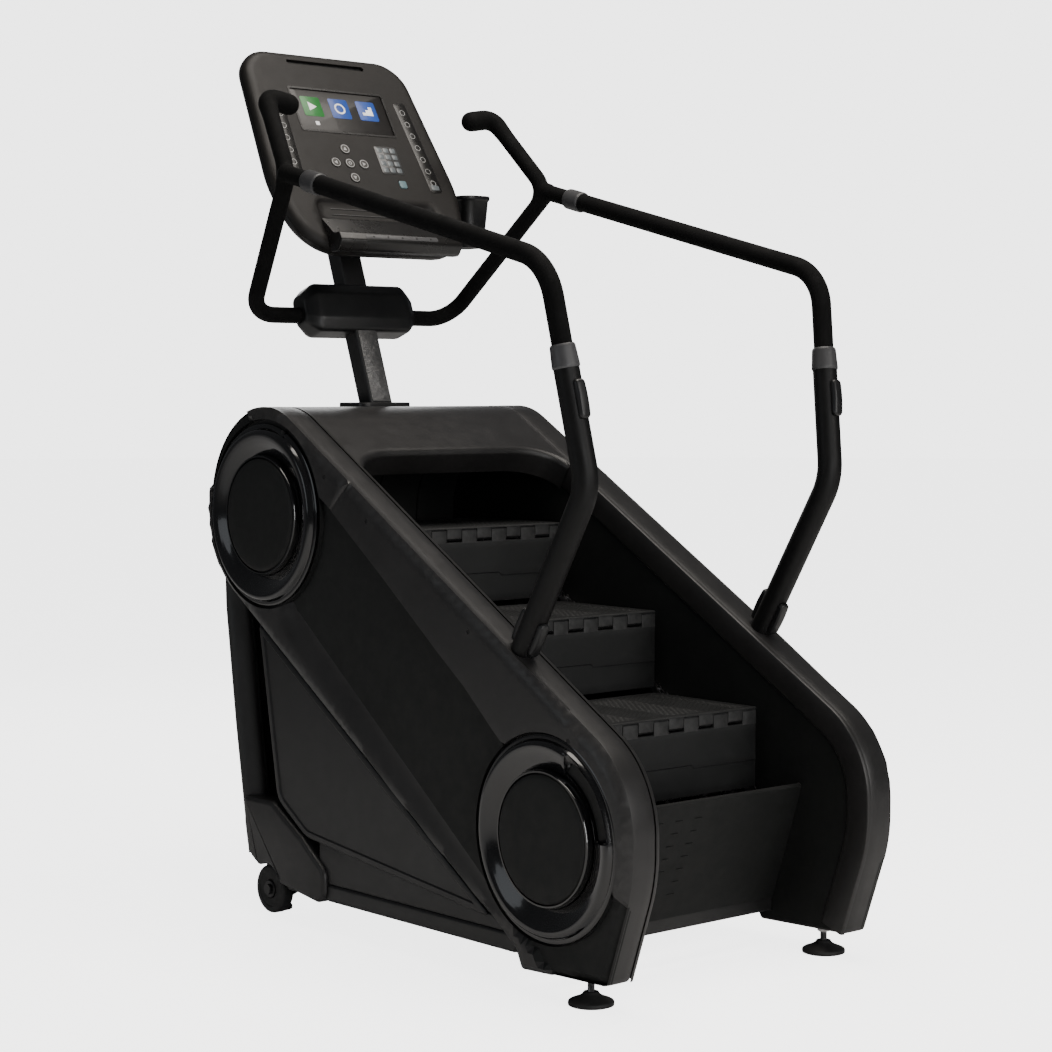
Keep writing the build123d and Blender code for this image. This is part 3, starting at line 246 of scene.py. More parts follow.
def make_looks():
    looks = {
        "casing": Look("moulded_casing", (0.0135, 0.013, 0.0132), 0.4)
        .worn((0.07, 0.068, 0.066), 0.35).grain(700),
        "panel": Look("satin_panel", (0.006, 0.0062, 0.0067), 0.38).grain(1100, 0.0001, 0.35),
        "flat_panel": Look("dull_panel", (0.006, 0.0066, 0.0065), 0.6, specular=0.3).grain(1400, 0.0001, 0.4),
        "ring": Look("gloss_ring", (0.004, 0.004, 0.0045), 0.13, coat=0.5),
        "tread": Look("ribbed_tread", (0.0125, 0.0132, 0.0135), 0.52, specular=0.35)
        .worn((0.08, 0.08, 0.08), 0.5).grain(800),
        "steel": Look("turned_steel", (0.42, 0.42, 0.43), 0.32, metallic=1).bump_lines(),
        "alloy": Look("cast_alloy", (0.3, 0.3, 0.31), 0.5, metallic=1).grain(500, 0.0002),
        "frame": Look("frame_coat", (0.012, 0.012, 0.0125), 0.42).grain(1500, 0.00008, 0.5),
        "tube": Look("tube_coat", (0.003, 0.003, 0.0031), 0.48, specular=0.25).grain(1600, 0.00006, 0.5),
        "grip": Look("foam_grip", (0.0025, 0.0025, 0.0026), 0.8, specular=0.14).grain(1300, 0.0003, 0.8),
        "collar": Look("grey_collar", (0.045, 0.045, 0.047), 0.42).worn((0.2, 0.2, 0.2), 0.4).grain(1200),
        "console": Look("console_face", (0.0085, 0.0075, 0.0068), 0.5, specular=0.3)
        .grain(1200, 0.00007, 0.4),
        "console_rim": Look("console_rim", (0.0085, 0.008, 0.0076), 0.28).grain(1000),
        "rubber": Look("black_rubber", (0.011, 0.011, 0.011), 0.66).grain(400, 0.0003),
        "membrane": Look("key_membrane", (0.035, 0.035, 0.035), 0.3, coat=0.3).grain(900, 0.00008),
        "keypad": Look("keypad_film", (0.105, 0.118, 0.125), 0.34, coat=0.3).grain(900, 0.00008),
        "teal": Look("teal_key", (0.1, 0.17, 0.19), 0.35).grain(900, 0.00008),
        "mark": Look("pale_mark", (0.36, 0.36, 0.355), 0.4).grain(1500, 0.00004),
        # Near-black: the real colour of the casing screws, and painted shade in the casing groove, the disc
        # wells, the port holes and the card slot.
        "dark": Look("black_screws_and_painted_shade", (0.002, 0.002, 0.002), 0.6).grain(700),
        "key": Look("key_cap", (0.03, 0.0275, 0.025), 0.4).grain(1200, 0.00007),
    }
    for name, colour, glow in (
        ("screen", (0.008, 0.007, 0.0065), None),
        ("green", (0.012, 0.13, 0.022), 0.32),
        ("blue", (0.012, 0.05, 0.24), 0.38),
        ("pale_blue", (0.2, 0.4, 0.75), 0.8),
        ("white", (0.7, 0.7, 0.7), 0.4),
    ):
        look = Look(f"screen_{name}", colour, 0.4, coat=0.1)
        if glow:
            look.links.new(look.colour, look.shader.inputs["Emission Color"])
            look.shader.inputs["Emission Strength"].default_value = glow
        looks[f"screen_{name}"] = look
    hammered = Look("hammered_plate", (0.12, 0.12, 0.12), 0.36, metallic=0.6)
    hammered.bump(hammered.noise(55, 3, 0.6, (1, 1, 2.2)), 0.004, 0.9)
    looks["hammered"] = hammered
    return {name: look.material for name, look in looks.items()}


# ---- paths and outlines -----------------------------------------------------------------------------
def rounded_path(points, radii, step, closed=False):
    """A path of any dimension through points, each corner an arc of its radius, with no run over step."""
    points = [Vector(p) for p in points]
    count = len(points)
    path = []
    for i, corner in enumerate(points):
        if not closed and i in (0, count - 1):
            path.append(corner)
            continue
        back = (points[i - 1] - corner).normalized()
        ahead = (points[(i + 1) % count] - corner).normalized()
        half = back.angle(ahead) / 2
        radius = radii[i if closed else i - 1]
        if radius <= 0:
            path.append(corner)
            continue
        centre = corner + (back + ahead).normalized() * radius / sin(half)
        middle = (corner - centre).normalized()
        across = (ahead - back).normalized()
        sweep = pi - 2 * half
        steps = max(2, ceil(radius * sweep / step))
        for k in range(steps + 1):
            angle = -sweep / 2 + sweep * k / steps
            path.append(centre + radius * (cos(angle) * middle + sin(angle) * across))
    filled = []
    for i, point in enumerate(path):
        if i == len(path) - 1 and not closed:
            break
        after = path[(i + 1) % len(path)]
        runs = max(1, ceil((after - point).length / step))
        filled += [point.lerp(after, k / runs) for k in range(runs)]
    if not closed:
        filled.append(path[-1])
    return filled


def circle(centre, radius, steps=96):
    return [
        Vector((centre[0] + radius * cos(2 * pi * k / steps), centre[1] + radius * sin(2 * pi * k / steps)))
        for k in range(steps)
    ]


def rectangle(centre, width, height, radius=0.0, step=6, tilt=0.0):
    """A closed rectangle, its corners rounded, turned by tilt degrees."""
    a = width / 2
    b = height / 2
    turn = radians(tilt)
    corners = [(-a, -b), (a, -b), (a, b), (-a, b)]
    loop = rounded_path(corners, [radius] * 4, step, closed=True)
    return [
        Vector((centre[0] + p.x * cos(turn) - p.y * sin(turn), centre[1] + p.x * sin(turn) + p.y * cos(turn)))
        for p in loop
    ]


def segments(path, closed):
    a = np.array([tuple(p) for p in path], float)
    return (a, np.roll(a, -1, axis=0)) if closed else (a[:-1], a[1:])


def nearest(points, path, closed=True):
    """For each point: its distance to the path, and the nearest point's own segment normal (to the left)."""
    start, end = segments(path, closed)
    along = end - start
    length2 = np.maximum((along**2).sum(1), 1e-12)
    best = np.full(len(points), 1e18)
    side = np.zeros(len(points))
    for k in range(len(start)):
        offset = points - start[k]
        t = np.clip(offset @ along[k] / length2[k], 0, 1)
        gap = offset - t[:, None] * along[k]
        distance = (gap**2).sum(1)
        closer = distance < best - 1e-9
        best[closer] = distance[closer]
        cross = along[k][0] * offset[:, 1] - along[k][1] * offset[:, 0]
        side[closer] = np.sign(cross[closer])
    return np.sqrt(best), side


def inside(points, loop):
    start, end = segments(loop, True)
    result = np.zeros(len(points), bool)
    for (x0, y0), (x1, y1) in zip(start, end):
        if y0 == y1:
            continue
        spans = (points[:, 1] >= min(y0, y1)) & (points[:, 1] < max(y0, y1))
        cut = x0 + (points[:, 1] - y0) * (x1 - x0) / (y1 - y0)
        result ^= spans & (points[:, 0] < cut)
    return result


def shifted(path, distance, closed=True):
    """The path moved to its left by distance."""
    count = len(path)
    moved = []
    for i, point in enumerate(path):
        before = path[i - 1] if closed or i else point
        after = path[(i + 1) % count] if closed or i < count - 1 else point
        along = (after - before).normalized()
        moved.append(point + distance * Vector((-along.y, along.x)))
    return moved


def ease(value):
    value = np.clip(value, 0, 1)
    return value * value * (3 - 2 * value)


# ---- mesh builders ----------------------------------------------------------------------------------
def add_piece(name, vertices, faces, look, body="machine", nodes=(), sharp=38, outward=True):
    """A mesh object from millimetre vertices, with its material, body and replaced nodes."""
    mesh = bpy.data.meshes.new(name)
    work = bmesh.new()
    made = [work.verts.new((v[0] * MM, v[1] * MM, v[2] * MM)) for v in vertices]
    for face in faces:
        corners = list(dict.fromkeys(face))
        if len(corners) > 2:
            try:
                work.faces.new([made[i] for i in corners])
            except ValueError:
                pass
    bmesh.ops.delete(work, geom=[v for v in work.verts if not v.link_faces], context="VERTS")
    if outward:
        bmesh.ops.recalc_face_normals(work, faces=work.faces)
    work.to_mesh(mesh)
    work.free()
    return finish_piece(name, mesh, look, body, nodes, sharp)


def finish_piece(name, mesh, look, body="machine", nodes=(), sharp=38):
    mesh.shade_smooth()
    mesh.set_sharp_from_angle(angle=radians(sharp))
    mesh.materials.clear()
    mesh.materials.append(LOOKS[look])
    piece = bpy.data.objects.new(name, mesh)
    bpy.context.scene.collection.objects.link(piece)
    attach(piece, body)
    if nodes:
        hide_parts(*nodes)
    return piece


def triangulate(outer, holes, rows, spacing):
    """Triangles over outer less holes, with edges along every row, and a staggered grid between."""
    points = []
    edges = []
    paths = [(outer, True)] + [(hole, True) for hole in holes] + [(row, False) for row in rows]
    for path, closed in paths:
        first = len(points)
        points += [(p[0], p[1]) for p in path]
        edges += [(first + k, first + k + 1) for k in range(len(path) - 1)]
        if closed:
            edges.append((len(points) - 1, first))
    box = np.array([tuple(p) for p in outer])
    low = box.min(0)
    high = box.max(0)
    grid = []
    row_height = spacing * 0.866
    for j in range(int((high[1] - low[1]) / row_height) + 1):
        offset = spacing / 2 if j % 2 else 0
        grid += [
            (low[0] + offset + i * spacing, low[1] + j * row_height)
            for i in range(int((high[0] - low[0]) / spacing) + 1)
        ]
    grid = np.array(grid)
    grid = grid[inside(grid, outer)]
    for path, closed in paths:
        grid = grid[nearest(grid, path, closed)[0] > 0.55 * spacing]
    points += [tuple(p) for p in grid]
    found, _, triangles, _, _, _ = geometry.delaunay_2d_cdt(
        [Vector(p) for p in points], edges, [], 0, 1e-4, False
    )
    places = np.array([tuple(p) for p in found])
    triangles = np.array([tuple(t) for t in triangles])
    centres = places[triangles].mean(1)
    keep = inside(centres, outer)
    for hole in holes:
        keep &= ~inside(centres, hole)
    return places, triangles[keep]


def border_edges(triangles):
    """Directed edges that only one triangle has."""
    seen = {(a, b) for t in triangles for a, b in ((t[0], t[1]), (t[1], t[2]), (t[2], t[0]))}
    return [(a, b) for a, b in seen if (b, a) not in seen]


def shell(outer, holes, rows, spacing, height, rim, hole_rim):
    """A height field with its outer edge carried down through rim, and each hole's through hole_rim.

    rim and hole_rim are (distance into the material, height) pairs. The result is vertices as
    (a, b, height) and faces.
    """
    places, triangles = triangulate(outer, holes, rows, spacing)
    heights = height(places)
    vertices = [(p[0], p[1], h) for p, h in zip(places, heights)]
    faces = [tuple(int(i) for i in t) for t in triangles]
    loops = [(outer, rim, 1)] + [(hole, hole_rim, -1) for hole in holes]
    border = border_edges(faces)
    border_points = sorted({i for edge in border for i in edge})
    spots = places[border_points]
    owner = {}
    for loop, profile, way in loops:
        gaps, _ = nearest(spots, loop)
        for spot, gap in zip(border_points, gaps):
            if gap < owner.get(spot, (0.4,))[0]:
                owner[spot] = (gap, loop, profile, way)
    made = {}
    for spot, (_, loop, profile, way) in owner.items():
        point = Vector(places[spot])
        count = len(loop)
        k = min(range(count), key=lambda i: (loop[i] - point).length_squared)
        along = loop[(k + 1) % count] - loop[k - 1]
        left = Vector((-along.y, along.x)).normalized()
        inward = left * area_sign(loop) * way
        made[spot] = [spot]
        for depth, level in profile:
            moved = point + inward * depth
            made[spot].append(len(vertices))
            vertices.append((moved.x, moved.y, level))
    for a, b in border:
        if a in made and b in made and len(made[a]) == len(made[b]):
            for k in range(len(made[a]) - 1):
                faces.append((made[b][k], made[a][k], made[a][k + 1], made[b][k + 1]))
    return vertices, faces


def area_sign(loop):
    total = sum(p.x * q.y - q.x * p.y for p, q in zip(loop, loop[1:] + loop[:1]))
    return 1 if total > 0 else -1


def lathe(profile, centre, sign, steps=160, shape=None):
    """Revolves (radius, x) pairs about the X axis through centre (y, z); shape may bend x by angle."""
    vertices = []
    faces = []
    count = len(profile)
    for k in range(steps):
        angle = 2 * pi * k / steps
        for radius, x in profile:
            level = shape(radius, angle, x) if shape else x
            vertices.append((sign * level, centre[0] + radius * cos(angle), centre[1] + radius * sin(angle)))
    for k in range(steps):
        a = k * count
        b = (k + 1) % steps * count
        faces += [(a + i, a + i + 1, b + i + 1, b + i) for i in range(count - 1)]
    return vertices, faces


def upright(profile, centre, steps=64):
    """Revolves (radius, z) pairs about a vertical axis through centre (x, y)."""
    turned, faces = lathe(profile, (0, 0), 1, steps)
    return [(centre[0] + v[1], centre[1] + v[2], v[0]) for v in turned], faces


def sweep(path, section, steps=28):
    """A closed tube along path; section(share, angle) gives its radius."""
    count = len(path)
    lengths = [0.0]
    for a, b in zip(path, path[1:]):
        lengths.append(lengths[-1] + (b - a).length)
    across = None
    vertices = []
    for i, point in enumerate(path):
        along = (path[min(i + 1, count - 1)] - path[max(i - 1, 0)]).normalized()
        if across is None:
            across = along.orthogonal().normalized()
        across = (across - along * across.dot(along)).normalized()
        up = along.cross(across)
        share = lengths[i] / lengths[-1]
        for k in range(steps):
            angle = 2 * pi * k / steps
            radius = section(share, angle)
            vertices.append(point + radius * (cos(angle) * across + sin(angle) * up))
    faces = []
    for i in range(count - 1):
        a = i * steps
        faces += [
            (a + k, a + (k + 1) % steps, a + steps + (k + 1) % steps, a + steps + k) for k in range(steps)
        ]
    faces.append(tuple(range(steps - 1, -1, -1)))
    faces.append(tuple((count - 1) * steps + k for k in range(steps)))
    return vertices, faces


def ball(centre, radius, steps=24):
    profile = [
        (radius * sin(pi * k / steps), radius * cos(pi * k / steps)) for k in range(1, steps)
    ]
    vertices, faces = upright([(r, z + centre[2]) for r, z in profile], centre[:2], 2 * steps)
    count = len(profile)
    faces.append(tuple(k * count for k in range(2 * steps)))
    faces.append(tuple(k * count + count - 1 for k in range(2 * steps - 1, -1, -1)))
    return vertices, faces


def joined(parts):
    vertices = []
    faces = []
    for some_vertices, some_faces in parts:
        first = len(vertices)
        vertices += [tuple(v) for v in some_vertices]
        faces += [tuple(first + i for i in face) for face in some_faces]
    return vertices, faces


def fused(name, parts, voxel, smooth):
    """Closed shapes melted into one skin: voxel remesh, then smoothing."""
    vertices, faces = joined(parts)
    mesh = bpy.data.meshes.new(name)
    mesh.from_pydata([tuple(c * MM for c in v) for v in vertices], [], faces)
    rough = bpy.data.objects.new(name + "_rough", mesh)
    bpy.context.scene.collection.objects.link(rough)
    remesh = rough.modifiers.new("remesh", "REMESH")
    remesh.mode = "VOXEL"
    remesh.voxel_size = voxel * MM
    relax = rough.modifiers.new("relax", "SMOOTH")
    relax.factor = 0.5
    relax.iterations = smooth
    graph = bpy.context.evaluated_depsgraph_get()
    skin = bpy.data.meshes.new_from_object(rough.evaluated_get(graph))
    bpy.data.objects.remove(rough)
    return skin


def prism(outline, low, high, bevel=0.0, levels=3):
    """An outline (y, z) carried from x = low to x = high, its rims rounded by bevel."""
    way = area_sign(outline)
    layers = [(low, 0)]
    if bevel:
        layers = [(low + bevel - bevel * sin(pi / 2 * k / levels), bevel * (1 - cos(pi / 2 * k / levels)))
                  for k in range(levels, -1, -1)]
        layers += [(high - bevel + bevel * sin(pi / 2 * k / levels), bevel * (1 - cos(pi / 2 * k / levels)))
                   for k in range(levels + 1)]
    else:
        layers.append((high, 0))
    vertices = []
    for x, inset in layers:
        loop = shifted(outline, way * inset) if inset else outline
        vertices += [(x, p[0], p[1]) for p in loop]
    count = len(outline)
    faces = []
    for i in range(len(layers) - 1):
        a = i * count
        faces += [
            (a + k, a + (k + 1) % count, a + count + (k + 1) % count, a + count + k) for k in range(count)
        ]
    faces.append(tuple(range(count - 1, -1, -1)))
    faces.append(tuple((len(layers) - 1) * count + k for k in range(count)))
    return vertices, faces


LOOKS = make_looks()
add_camera()
add_studio()
add_floor()

# ---- side casings -----------------------------------------------------------------------------------
OUTLINE = (
    (-765, 60), (-845, 285), (-845, 511), (418, 1267), (724, 1267), (724, 876), (-480, 96), (-500, 52),
)
OUTLINE_RADII = (12, 350, 240, 200, 248, 248, 20, 10)
LOWER_DISC = (-583, 348)
UPPER_DISC = (474, 1000)
CASING_X = 422
CASING_INNER = 336.5
CREASE = 15
LOBE_CREASE = 26
RECESS = 13
GROOVE = 9
BAND_EDGE = (
    (345, 1122), (198, 1032), (-17, 875), (-220, 720), (-317, 649), (-417, 562), (-495, 500),
)
FOLD = ((330, 767), (113, 601), (-153, 398), (-440, 178))
BELT_WIDTH = 76
SEAM = ((186, 1024), (122, 1087), (60, 1149))
UPPER_REGION = (
    (60, 1149), (122, 1087), (186, 1024), (300, 850), (400, 773), (450, 640), (900, 640), (900, 1400),
    (60, 1400),
)
SCREWS = ((384, 1206), (210, 1101), (44, 1003), (-331, 773), (-664, 566))
SCREW_HOLE_R = 6
DISC_HOLES = ((LOWER_DISC, 229), ((UPPER_DISC[0] - 11, UPPER_DISC[1] + 3), 234))


def casing_height(places):
    outline = rounded_path(OUTLINE, OUTLINE_RADII, 10, closed=True)
    depth, _ = nearest(places, outline)
    lobe = ease((-420 - places[:, 0]) / 320)
    crease = CREASE + (LOBE_CREASE - CREASE) * lobe
    inset = np.clip(1 - depth / crease, 0, 1)
    level = CASING_X - crease * (1 - np.sqrt(1 - inset**2 * 0.93))
    band = [Vector(p) for p in BAND_EDGE]
    fold = [Vector(p) for p in FOLD]
    below_band, band_side = nearest(places, band, closed=False)
    below_band *= band_side
    below_fold, fold_side = nearest(places, fold, closed=False)
    below_fold *= fold_side
    rise = ease(below_fold / BELT_WIDTH)
    groove = 6 * (ease(below_band / 2) - ease((below_band - GROOVE) / 2))
    recess = RECESS * ease(below_band / 3) * (1 - rise)
    level = level - recess - groove * (1 - rise)
    seam_gap, _ = nearest(places, [Vector(p) for p in SEAM], closed=False)
    return level - 2.4 * (1 - ease(seam_gap / 1.6))


def casing_rows():
    outline = rounded_path(OUTLINE, OUTLINE_RADII, 10, closed=True)
    rows = [shifted(outline, depth) + [shifted(outline, depth)[0]] for depth in (2, 4.5, 8, 12, 17, 22, 28)]
    band = rounded_path(BAND_EDGE, (200, 200, 200, 200, 200), 10)
    rows += [shifted(band, gap, closed=False) for gap in (0, 1, 2, GROOVE, GROOVE + 1, GROOVE + 2)]
    fold = rounded_path(FOLD, (400, 400), 12)
    rows += [shifted(fold, gap, closed=False) for gap in (0, 12, 25, 38, 51, 64, 76)]
    seam = [Vector(p) for p in SEAM]
    rows += [shifted(seam, gap, closed=False) for gap in (-1.6, 0, 1.6)]
    clipped = []
    for row in rows:
        points = np.array([tuple(p) for p in row])
        within = inside(points, outline)
        for centre, radius in DISC_HOLES:
            within &= np.hypot(points[:, 0] - centre[0], points[:, 1] - centre[1]) > radius + 3
        run = []
        for point, keep in zip(row, within):
            if keep:
                run.append(point)
            elif len(run) > 1:
                clipped.append(run)
                run = []
            else:
                run = []
        if len(run) > 1:
            clipped.append(run)
    clipped.append([Vector(p) for p in UPPER_REGION[1:5]])
    return clipped


def add_casings():
    outline = rounded_path(OUTLINE, OUTLINE_RADII, 10, closed=True)
    if area_sign(outline) < 0:
        outline.reverse()
    holes = [circle(centre, radius) for centre, radius in DISC_HOLES]
    holes += [circle(screw, SCREW_HOLE_R, 20) for screw in SCREWS]
    rim = [(-0.0, 403), (-0.6, 396), (-1, 384), (-1, 362), (-0.4, 344), (1.5, 338)]
    rim += [(5, CASING_INNER), (26, CASING_INNER)]
    rim = [(depth + 1, level) for depth, level in rim]
    hole_rim = [(-0.4, 419), (-0.4, 404)]
    vertices, faces = shell(outline, holes, casing_rows(), 16, casing_height, rim, hole_rim)
    upper_loop = [Vector(p) for p in UPPER_REGION]
    centres = np.array([np.mean([vertices[i][:2] for i in face], axis=0) for face in faces])
    levels = np.array([np.mean([vertices[i][2] for i in face]) for face in faces])
    is_upper = inside(centres, upper_loop)
    below_band, band_side = nearest(centres, [Vector(p) for p in BAND_EDGE], closed=False)
    below_band *= band_side
    _, fold_side = nearest(centres, [Vector(p) for p in FOLD], closed=False)
    in_loop = (fold_side < 0) & (levels > CASING_X - 30)
    # The floor of the groove along the band's inner edge is coloured near-black: painted shade in the groove.
    is_painted_shade_gap = in_loop & (below_band > 0.8) & (below_band < GROOVE + 0.5)
    is_panel = in_loop & (below_band >= GROOVE + 0.5)
    shell_part = ~is_painted_shade_gap & ~is_panel
    for part, chosen, look, node in (
        ("front_casing", ~is_upper & shell_part, "casing", "front_casings"),
        ("upper_casing", is_upper & shell_part, "casing", "upper_casings"),
        ("centre_gap_painted_shade", is_painted_shade_gap, "dark", "side_panels"),
        ("centre_panel", is_panel, "flat_panel", "side_panels"),
    ):
        part_faces = [face for face, keep in zip(faces, chosen) if keep]
        for side, sign in SIDES:
            placed = [(sign * v[2], v[0], v[1]) for v in vertices]
            add_piece(f"{part}_{side}", placed, part_faces, look, nodes=(node,))


# ---- round discs on the casings ---------------------------------------------------------------------
RING_PROFILE = (
    (149, 404), (149, 409), (151, 411), (158, 414), (168, 418.5), (178, 423.5), (188, 427.8), (196, 430.2),
    (202, 430.8), (207, 429.4), (211, 425.5), (213, 420), (215, 417.8), (222, 417.4), (225, 415.5),
    (225.5, 404),
)
CAP_PROFILE = (
    (0.5, 433), (40, 433), (90, 432.6), (128, 431.6), (134, 430.4), (138, 428), (140, 424), (140, 404),
)
CAP_EDGE = ((140.6, 404), (140.6, 424), (142.4, 427.6), (146, 427.6), (148.4, 424), (148.6, 404))


def slot_depth(radius, angle, x):
    """The fan-shaped window in the lower ring, sunk behind the ring's face."""
    spread = ease((angle - radians(112)) / radians(3)) * (1 - ease((angle - radians(172)) / radians(3)))
    band = ease((radius - 160) / 4) * (1 - ease((radius - 204) / 4))
    return x - 20 * spread * band


def add_discs():
    ring = [(r, x) for r, x in RING_PROFILE]
    fine = []
    for (r0, x0), (r1, x1) in zip(ring, ring[1:]):
        runs = max(1, ceil(abs(r1 - r0) / 3))
        fine += [(r0 + (r1 - r0) * k / runs, x0 + (x1 - x0) * k / runs) for k in range(runs)]
    fine.append(ring[-1])
    for side, sign in SIDES:
        for level, centre, shape in (("lower", LOWER_DISC, slot_depth), ("upper", UPPER_DISC, None)):
            vertices, faces = lathe(fine, centre, sign, 240, shape)
            add_piece(f"{level}_ring_{side}", vertices, faces, "ring", nodes=("disc_rings",))
            vertices, faces = lathe(CAP_PROFILE, centre, sign, 160)
            faces.append(tuple(k * len(CAP_PROFILE) for k in range(160)))
            add_piece(f"{level}_cap_{side}", vertices, faces, "flat_panel", nodes=("disc_caps",))
            vertices, faces = lathe(CAP_EDGE, centre, sign, 160)
            add_piece(f"{level}_cap_edge_{side}", vertices, faces, "ring", nodes=("disc_caps",))
            # A near-black disc behind each ring and cap, seen in the gaps around them: painted shade.
            vertices, faces = lathe(((146, 408), (236, 408)), centre, sign, 96)
            add_piece(f"{level}_well_{side}", vertices, faces, "dark", nodes=("disc_rings",))


# ---- lower side panels ------------------------------------------------------------------------------
LOWER_PANEL = ((516, 730), (437, 298), (318, 221), (-78, 176), (-392, 141))
LOWER_PANEL_RADII = (6, 60, 80, 60, 6)


def add_lower_panels():
    outline = rounded_path(LOWER_PANEL, LOWER_PANEL_RADII, 10, closed=True)
    if area_sign(outline) < 0:
        outline.reverse()

    def height(places):
        depth, _ = nearest(places, outline)
        rounded = 5 * (1 - np.sqrt(1 - np.clip(1 - depth / 5, 0, 1) ** 2))
        frame_step = 3.2 * ease((depth - 15) / 3.5)
        return 403.5 - rounded - frame_step

    rows = [shifted(outline, depth) + [shifted(outline, depth)[0]] for depth in (1, 2.5, 5, 15, 16.7, 18.5)]
    vertices, faces = shell(outline, [], rows, 24, height, [(0, 392), (0, 372)], [])
    for side, sign in SIDES:
        placed = [(sign * v[2], v[0], v[1]) for v in vertices]
        add_piece(f"lower_panel_{side}", placed, faces, "panel", nodes=("side_panels",))


add_casings()
add_discs()
add_lower_panels()

# ---- inner rims of the casings ----------------------------------------------------------------------
INNER_RIM_DEPTH = 66


def add_inner_rims():
    """The smooth strip along the inside of each casing's upper edge, above the recessed liner."""
    open_path = [(-765, 60), (-845, 285), (-845, 511), (418, 1267), (500, 1267)]
    path = rounded_path(open_path, (350, 240, 200), 12)
    profile = [(0.5, 336.4), (0.8, 330), (2.4, 326.4), (6, 325)]
    profile += [(INNER_RIM_DEPTH - 5, 325), (INNER_RIM_DEPTH, 327), (INNER_RIM_DEPTH + 3, 331.9)]
    count = len(profile)
    for side, sign in SIDES:
        vertices = []
        for depth, x in profile:
            vertices += [(sign * x, p.x, p.y) for p in shifted(path, -depth, closed=False)]
        runs = len(path)
        faces = [
            (j * runs + i, j * runs + i + 1, (j + 1) * runs + i + 1, (j + 1) * runs + i)
            for j in range(count - 1) for i in range(runs - 1)
        ]
        add_piece(f"inner_rim_{side}", vertices, faces, "casing")


# ---- hood over the top of the stairs ----------------------------------------------------------------
HOOD_HALF = 336.2
HOOD_START_Y = 250
HOOD_END_Z = 868
HOOD_CORNER = (150, 95)
HOOD_ROLL = 16
HOOD_RETURN = 58
HOOD_SINK = 0.8


def add_hood():
    path = rounded_path([(-100, 957), (418, 1267), (724, 1267), (724, 876), (640, 821)], (200, 248, 248), 8)
    lengths = [0.0]
    for a, b in zip(path, path[1:]):
        lengths.append(lengths[-1] + (b - a).length)
    lengths = np.array(lengths)
    ys = np.array([p.x for p in path])
    zs = np.array([p.y for p in path])

    def place(x, s, depth):
        y = np.interp(s, lengths, ys)
        z = np.interp(s, lengths, zs)
        run = 6
        along = Vector((
            np.interp(s + run, lengths, ys) - np.interp(s - run, lengths, ys),
            np.interp(s + run, lengths, zs) - np.interp(s - run, lengths, zs),
        )).normalized()
        return (x, y + along.y * (depth + HOOD_SINK), z - along.x * (depth + HOOD_SINK))

    start = float(np.interp(HOOD_START_Y, ys[:60], lengths[:60]))
    on_rear = [i for i in range(len(path)) if path[i].x > 600]
    end = float(np.interp(-HOOD_END_Z, [-path[i].y for i in on_rear], lengths[on_rear]))
    width, drop = HOOD_CORNER
    columns = [-HOOD_HALF + 2 * HOOD_HALF * (0.5 - 0.5 * cos(pi * i / 72)) for i in range(73)]

    def edge(x):
        share = max(0.0, (abs(x) - (HOOD_HALF - width)) / width)
        return start - drop * (1 - (1 - min(1, share) ** 2.2) ** 0.5)

    rows = []
    for x in columns:
        slope = (edge(x + 0.5) - edge(x - 0.5)) if abs(x) < HOOD_HALF - 1 else (-4 if x > 0 else 4)
        way = Vector((slope, -1)).normalized()
        column = [place(
            x + way.x * HOOD_ROLL * 0.75, edge(x) + way.y * (HOOD_ROLL - 10), HOOD_ROLL + HOOD_RETURN
        )]
        for k in range(6, -1, -1):
            turn = pi / 2 * k / 6
            column.append(place(
                x + way.x * HOOD_ROLL * sin(turn), edge(x) + way.y * HOOD_ROLL * sin(turn),
                HOOD_ROLL * (1 - cos(turn)),
            ))
        for k in range(1, 61):
            share = k / 60
            column.append(place(x, edge(x) + (end - edge(x)) * share**1.15, 0))
        rows.append(column)
    count = len(rows[0])
    vertices = [v for column in rows for v in column]
    vertices = [(max(-HOOD_HALF, min(HOOD_HALF, v[0])), v[1], v[2]) for v in vertices]
    faces = [
        (i * count + j, i * count + j + 1, (i + 1) * count + j + 1, (i + 1) * count + j)
        for i in range(len(rows) - 1) for j in range(count - 1)
    ]
    add_piece("hood", vertices, faces, "casing", nodes=("rear_hood",), sharp=60)


def add_hood_liner():
    """The curved wall behind the top step, moulded in panels with dark seams."""
    path = rounded_path([(262, 1150), (420, 1176), (650, 1176), (650, 835)], (60, 195), 8)
    seams = (-205, -70, 70, 205)
    columns = [-331]
    for seam in seams:
        columns += [seam - 12, seam - 2.4, seam - 1.4, seam + 1.4, seam + 2.4, seam + 12]
    columns = sorted(columns + [331, -270, -140, 0, 140, 270])
    vertices = []
    for x in columns:
        sunk = 5 if min(abs(x - seam) for seam in seams) < 2 else 0
        vertices += [(x, p.x, p.y) for p in shifted(path, 3 + sunk, closed=False)]
    count = len(path)
    faces = [
        (i * count + j, i * count + j + 1, (i + 1) * count + j + 1, (i + 1) * count + j)
        for i in range(len(columns) - 1) for j in range(count - 1)
    ]
    add_piece("hood_liner_wall", vertices, faces, "flat_panel", nodes=("hood_liner",), sharp=50)


MAST_COVER_AT = (0, 568)


def add_mast_cover():
    plate = prism(rectangle(MAST_COVER_AT, 166, 118, 26), 1258, 1276, 3)
    vertices = [(a, b, level) for level, a, b in plate[0]]
    add_piece("mast_cover_plate", vertices, plate[1], "panel", nodes=("mast_cover",))


# ---- steps ------------------------------------------------------------------------------------------
FIRST_NOSE = (-511, 562)
STEP_RUN = 344
STEP_RISE = 203
TREAD_HALF = 312
TREAD_DEPTH = 350
HINGE = (16, -20)
KNUCKLE_COUNT = 13
KNUCKLE_R = 14.8
RELIEF_R = 16.2
RIB_PITCH = 15
RIB_HEIGHT = 2.2
CHEVRON = 104


